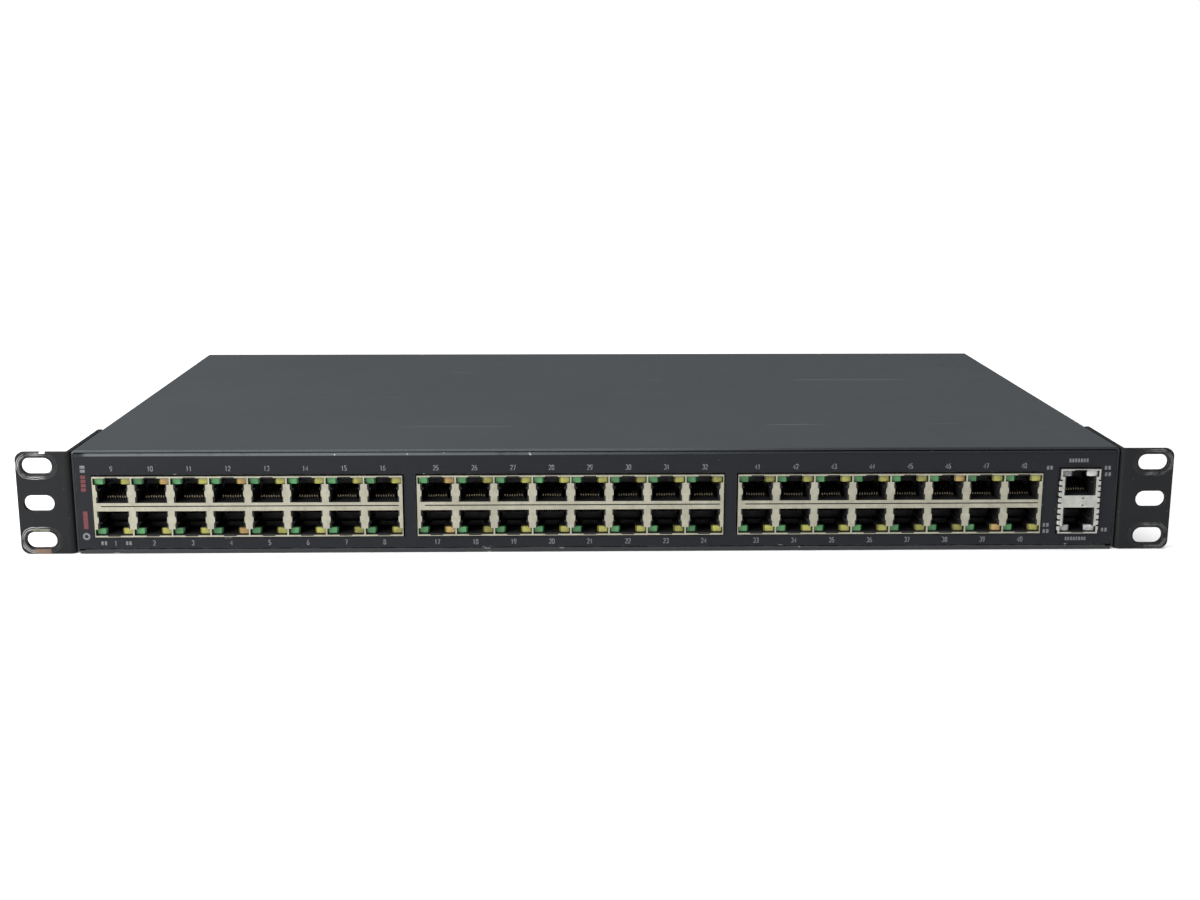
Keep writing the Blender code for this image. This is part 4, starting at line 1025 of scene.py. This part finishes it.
def power_switch():
    """A framed rocker switch. The rocker is dished between its two ends and shown switched off."""
    low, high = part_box("power_switch_frame")
    x, z = centre_of(low, high)
    face, pivot = high.y, REAR - 0.5 * MM
    wide, tall = 12 * MM, 8.5 * MM
    shape = prism(around((x, z), 10.2 * MM, 7 * MM), "Y", low.y, REAR + 1 * MM)
    flange = rounded((x - wide, z - tall), (x + wide, z + tall), 1.2 * MM)
    shape = join(shape, prism(flange, "Y", FLANGE_BACK, face))
    shape = cut(shape, prism(around((x, z), 9.35 * MM, 5.6 * MM), "Y", REAR - 9 * MM, face + 1 * MM))
    bearing = prism(circle((x, pivot), 1.5 * MM), "Z", z - 6.4 * MM, z + 6.4 * MM)
    piece("switch_bezel", cut(shape, bearing), BLACK, 0.25, ["power_switch_frame"])
    tilt, edge, radius, valley = math.radians(10), 28, 9 * MM, 2.4 * MM

    def on_rocker(u, v):
        return (x + u * math.cos(tilt) - v * math.sin(tilt), pivot + u * math.sin(tilt) + v * math.cos(tilt))

    right, left = arc((0, 0), radius, -25, edge, 8), arc((0, 0), radius, 180 - edge, 205, 8)
    reach, rise, bow = right[-1][0], right[-1][1] - valley, 1.25
    spread = [reach - 2 * reach * i / 12 for i in range(1, 12)]
    dish = [(u, valley + rise * (abs(u) / reach) ** bow) for u in spread]
    rocker = prism([on_rocker(u, v) for u, v in right + dish + left], "Z", z - 5.25 * MM, z + 5.25 * MM)
    pin = prism(circle((x, pivot), 1.15 * MM), "Z", z - 6.2 * MM, z + 6.2 * MM)
    node = "power_switch_rocker"
    piece("switch_rocker", join(rocker, pin), BLACK, 0.3, [node], node)
    bar = prism(rectangle((-0.28 * MM, -1.7 * MM), (0.28 * MM, 1.7 * MM)), "Y", -0.05 * MM, 0.03 * MM)
    ring = prism(circle((0, 0), 2.1 * MM, 32), "Y", -0.05 * MM, 0.03 * MM)
    ring = cut(ring, prism(circle((0, 0), 1.55 * MM, 32), "Y", -1 * MM, 1 * MM))
    signs = bmesh.new()
    for side, sign in ((1, bar), (-1, ring)):
        u = side * 4.6 * MM
        share = abs(u) / reach
        slope = side * rise / reach * bow * share ** (bow - 1)
        centre = on_rocker(u, valley + rise * share ** bow + 0.04 * MM)
        turn = Matrix.Rotation(math.atan(slope) + tilt, 4, "Z")
        absorb(signs, sign, Matrix.Translation((*centre, z)) @ turn)
    piece("switch_signs", signs, PRINT, body="power_switch_rocker")


def fan_blade(centre, start, shape):
    """A twisted, cambered blade from the hub to just inside the bore."""
    spans, chords = 5, 6
    root, tip, chord, camber, half_thick = 8.9, 17.4, 12.2, 0.9, 0.45
    root_lean, untwist, sweep = 48, 22, 0.22
    sides = []
    for face in (-1, 1):
        grid = []
        for i in range(spans + 1):
            r = root + (tip - root) * i / spans
            lean = math.radians(root_lean - untwist * i / spans)
            row = []
            for j in range(chords + 1):
                s = j / chords - 0.5
                thick = half_thick * (1 - (2 * s) ** 4 * 0.8)
                along, normal = chord * s, camber * (1 - 4 * s * s) + face * thick
                tangential = along * math.cos(lean) - normal * math.sin(lean)
                axial = along * math.sin(lean) + normal * math.cos(lean)
                angle = start + tangential / r + sweep * (i / spans) ** 1.5
                point = Vector((r * math.cos(angle), axial, r * math.sin(angle))) * MM
                row.append(shape.verts.new(Vector(centre) + point))
            grid.append(row)
        sides.append(grid)
    low, high = sides
    faces = []
    for a, b in [*zip(low, low[1:]), *zip(high, high[1:]), (low[0], high[0]), (low[-1], high[-1])]:
        for j in range(chords):
            faces.append(shape.faces.new((a[j], a[j + 1], b[j + 1], b[j])))
    for i in range(spans):
        for j in (0, chords):
            faces.append(shape.faces.new((low[i][j], low[i + 1][j], high[i + 1][j], high[i][j])))
    bmesh.ops.recalc_face_normals(shape, faces=faces)


def fan_holes(x, z):
    reach = 16 * MM
    return [(x + i * reach, z + k * reach) for i in (-1, 1) for k in (-1, 1)]


def fan(number):
    """A 40 mm fan: frame with two crossed bars, wheel and guard."""
    low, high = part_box(f"fan_{number}_frame")
    x, z = centre_of(low, high)
    front, back, hub = low.y, high.y, 9.5 * MM
    plate = back - 3 * MM
    shape = prism(rounded((low.x, low.z), (high.x, high.z), 2 * MM, 4), "Y", front, back)
    shape = cut(shape, prism(circle((x, z), 18.7 * MM, 64), "Y", front - 1 * MM, back + 1 * MM))
    for angle in (45, 135):
        bar = turned(around((0, 0), 19.5 * MM, 1 * MM), angle, (x, z))
        shape = join(shape, prism(bar, "Y", plate, back))
    shape = join(shape, prism(circle((x, z), hub, 40), "Y", plate, back))
    tools = prism(circle((x, z), 1.8 * MM), "Y", plate - 1 * MM, back - 0.8 * MM)
    for place in fan_holes(x, z):
        prism(circle(place, 1.7 * MM, 16), "Y", front - 1 * MM, back + 1 * MM, tools)
    piece(f"fan_{number}_shroud", cut(shape, tools), BLACK, 0.3, [f"fan_{number}_frame"])
    fan_wheel(number, (x, z), front + 1.5 * MM, plate - 0.5 * MM, hub)
    fan_guard(number, (x, z))


def fan_wheel(number, centre, front, back, hub):
    """The hub, its pin at the back, and seven blades."""
    x, z = centre
    length, pin = back - front, 1.5 * MM
    profile = [(0, -2 * MM), (pin, -2 * MM), (pin, -0.01 * MM), (hub - 0.4 * MM, 0), (hub, 0.4 * MM)]
    profile += [(hub - out * MM, length - down * MM) for out, down in ((0, 1.6), (0.5, 0.5), (1.6, 0))]
    profile.append((0, length))
    shape = lathe(profile, 40, Matrix.Translation((x, back, z)) @ Matrix.Rotation(math.pi / 2, 4, "X"))
    for i in range(7):
        fan_blade((x, (front + back) / 2, z), 2 * math.pi * i / 7, shape)
    node = f"fan_{number}_wheel"
    piece(f"fan_{number}_rotor", shape, ROTOR, 0.0, [node], node)


def fan_guard(number, centre):
    """Wire rings on four spokes, with screwed eyes at the corners."""
    level, wire = REAR + 0.8 * MM, 0.5 * MM
    corners = fan_holes(*centre)
    guard = bmesh.new()
    for radius in (5.0, 9.2, 13.4, 17.6):
        tube([(u, level, v) for u, v in circle(centre, radius * MM, 48)], wire, 8, guard, closed=True)
    middle = Vector((centre[0], level, centre[1]))
    eyes = bmesh.new()
    holes = bmesh.new()
    for x, z in corners:
        tube([middle.lerp(Vector((x, level, z)), share) for share in (0.2, 0.55, 0.9)], wire, 8, guard)
        prism(circle((x, z), 3.0 * MM), "Y", level - wire, level + wire, eyes)
        prism(circle((x, z), 1.8 * MM, 16), "Y", level - 2 * MM, level + 2 * MM, holes)
    piece(f"fan_{number}_wire_guard", guard, ZINC, 0.0, [f"fan_{number}_guard"])
    piece(f"fan_{number}_guard_eyes", cut(eyes, holes), ZINC, 0.1)
    places = [((x, level + wire, z), (0, 1, 0), x * 900) for x, z in corners]
    screws(f"fan_{number}_screws", places, 2.8 * MM, 1.6 * MM)


# ---- carried-over nodes ----


def carried_nodes():
    """The base pan and the sealed inner pieces keep their CAD shape, with eased edges and real finishes."""
    finishes = {
        "base_pan": PAN_PAINT,
        "main_board": BOARD,
        "processor": CHIP,
        "processor_heat_sink": ALUMINIUM,
        "memory_socket": CHIP,
        "memory_module": BOARD,
        "supply_tray": ZINC,
        "supply_board": BOARD,
        "supply_transformer": COPPER,
        "supply_capacitor": SLEEVE,
        "supply_heat_sink": ALUMINIUM,
        **{f"board_standoff_{i}": BRASS for i in range(1, 7)},
        **LEADS,
    }
    for node, finish in finishes.items():
        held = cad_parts[node]
        for slot in held.material_slots:
            slot.material = finish
        if node in LEADS:
            continue
        weld = held.modifiers.new("weld", "WELD")
        weld.merge_threshold = MERGE_DISTANCE
        flat = held.modifiers.new("flat", "DECIMATE")
        flat.decimate_type = "DISSOLVE"
        flat.angle_limit = FLAT_ANGLE
        ease(held, 0.15, 1)


# ---- camera, light and floor ----


def studio():
    """A pale floor, a broad soft light overhead, a weaker one from the front left, and a white sky."""
    floor = bmesh.new()
    bmesh.ops.create_grid(floor, x_segments=1, y_segments=1, size=6.0)
    made = as_object(floor, "floor")
    made.location.z = -0.2 * MM
    f = Finish("pale_floor")
    tone = f.mix(f.cloud(40, 0.0, 1.0), (0.90, 0.90, 0.90), (0.94, 0.94, 0.94))
    f.set(base_color=tone, roughness=0.75, emission_color=tone, emission_strength=0.22)
    made.data.materials.append(f.material)
    world = bpy.data.worlds.new("studio")
    world.use_nodes = True
    tree = world.node_tree
    blend = tree.nodes.new("ShaderNodeMixShader")
    tree.links.new(tree.nodes.new("ShaderNodeLightPath").outputs["Is Camera Ray"], blend.inputs[0])
    lit, seen = tree.nodes["Background"], tree.nodes.new("ShaderNodeBackground")
    for place, sky, strength in ((1, lit, 0.20), (2, seen, 1.0)):
        sky.inputs["Color"].default_value = (1.0, 1.0, 1.0, 1.0)
        sky.inputs["Strength"].default_value = strength
        tree.links.new(sky.outputs[0], blend.inputs[place])
    tree.links.new(blend.outputs[0], tree.nodes["World Output"].inputs["Surface"])
    bpy.context.scene.world = world
    sun = bpy.data.lights.new("sky_panel", "SUN")
    sun.energy, sun.angle = 2.5, math.radians(60)
    key = bpy.data.lights.new("left_key", "AREA")
    key.shape, key.energy = "RECTANGLE", 13.0
    key.size, key.size_y = 0.6, 0.4
    aims = ((sun, (0, 0, 0), (0.12, 0.12, -1.0)), (key, (-0.85, -0.75, 0.50), (-0.1, -0.12, 0.02)))
    for light, place, aim in aims:
        holder = bpy.data.objects.new(light.name, light)
        holder.location = place
        holder.rotation_euler = (Vector(aim) - Vector(place)).to_track_quat("-Z", "Y").to_euler()
        bpy.context.scene.collection.objects.link(holder)


def camera():
    """A normal lens just above the case, looking a little down at its front."""
    lens_data = bpy.data.cameras.new("camera")
    lens_data.sensor_width = 36.0
    lens_data.lens = 46.505
    lens_data.clip_start = 0.01
    holder = bpy.data.objects.new("camera", lens_data)
    pitch, yaw, roll = (math.radians(a) for a in (12.479, -1.375, -0.108))
    turn = Matrix.Rotation(yaw, 4, "Z") @ Matrix.Rotation(math.pi / 2 - pitch, 4, "X")
    place = (-14.887 * MM, depth(-628.361), 182.747 * MM)
    holder.matrix_world = Matrix.Translation(place) @ turn @ Matrix.Rotation(-roll, 4, "Z")
    bpy.context.scene.collection.objects.link(holder)
    bpy.context.scene.camera = holder
    bpy.context.scene.view_settings.view_transform = "Standard"


def build():
    dice = random.Random(7)
    camera()
    top_cover()
    front_panel()
    rack_ear("left", -1)
    rack_ear("right", 1)
    case_screws(dice)
    for name in BLOCKS:
        jack_block(name, dice)
    management_jack(dice)
    printing()
    mains_inlet()
    power_switch()
    for number in (1, 2):
        fan(number)
    carried_nodes()
    studio()


build()
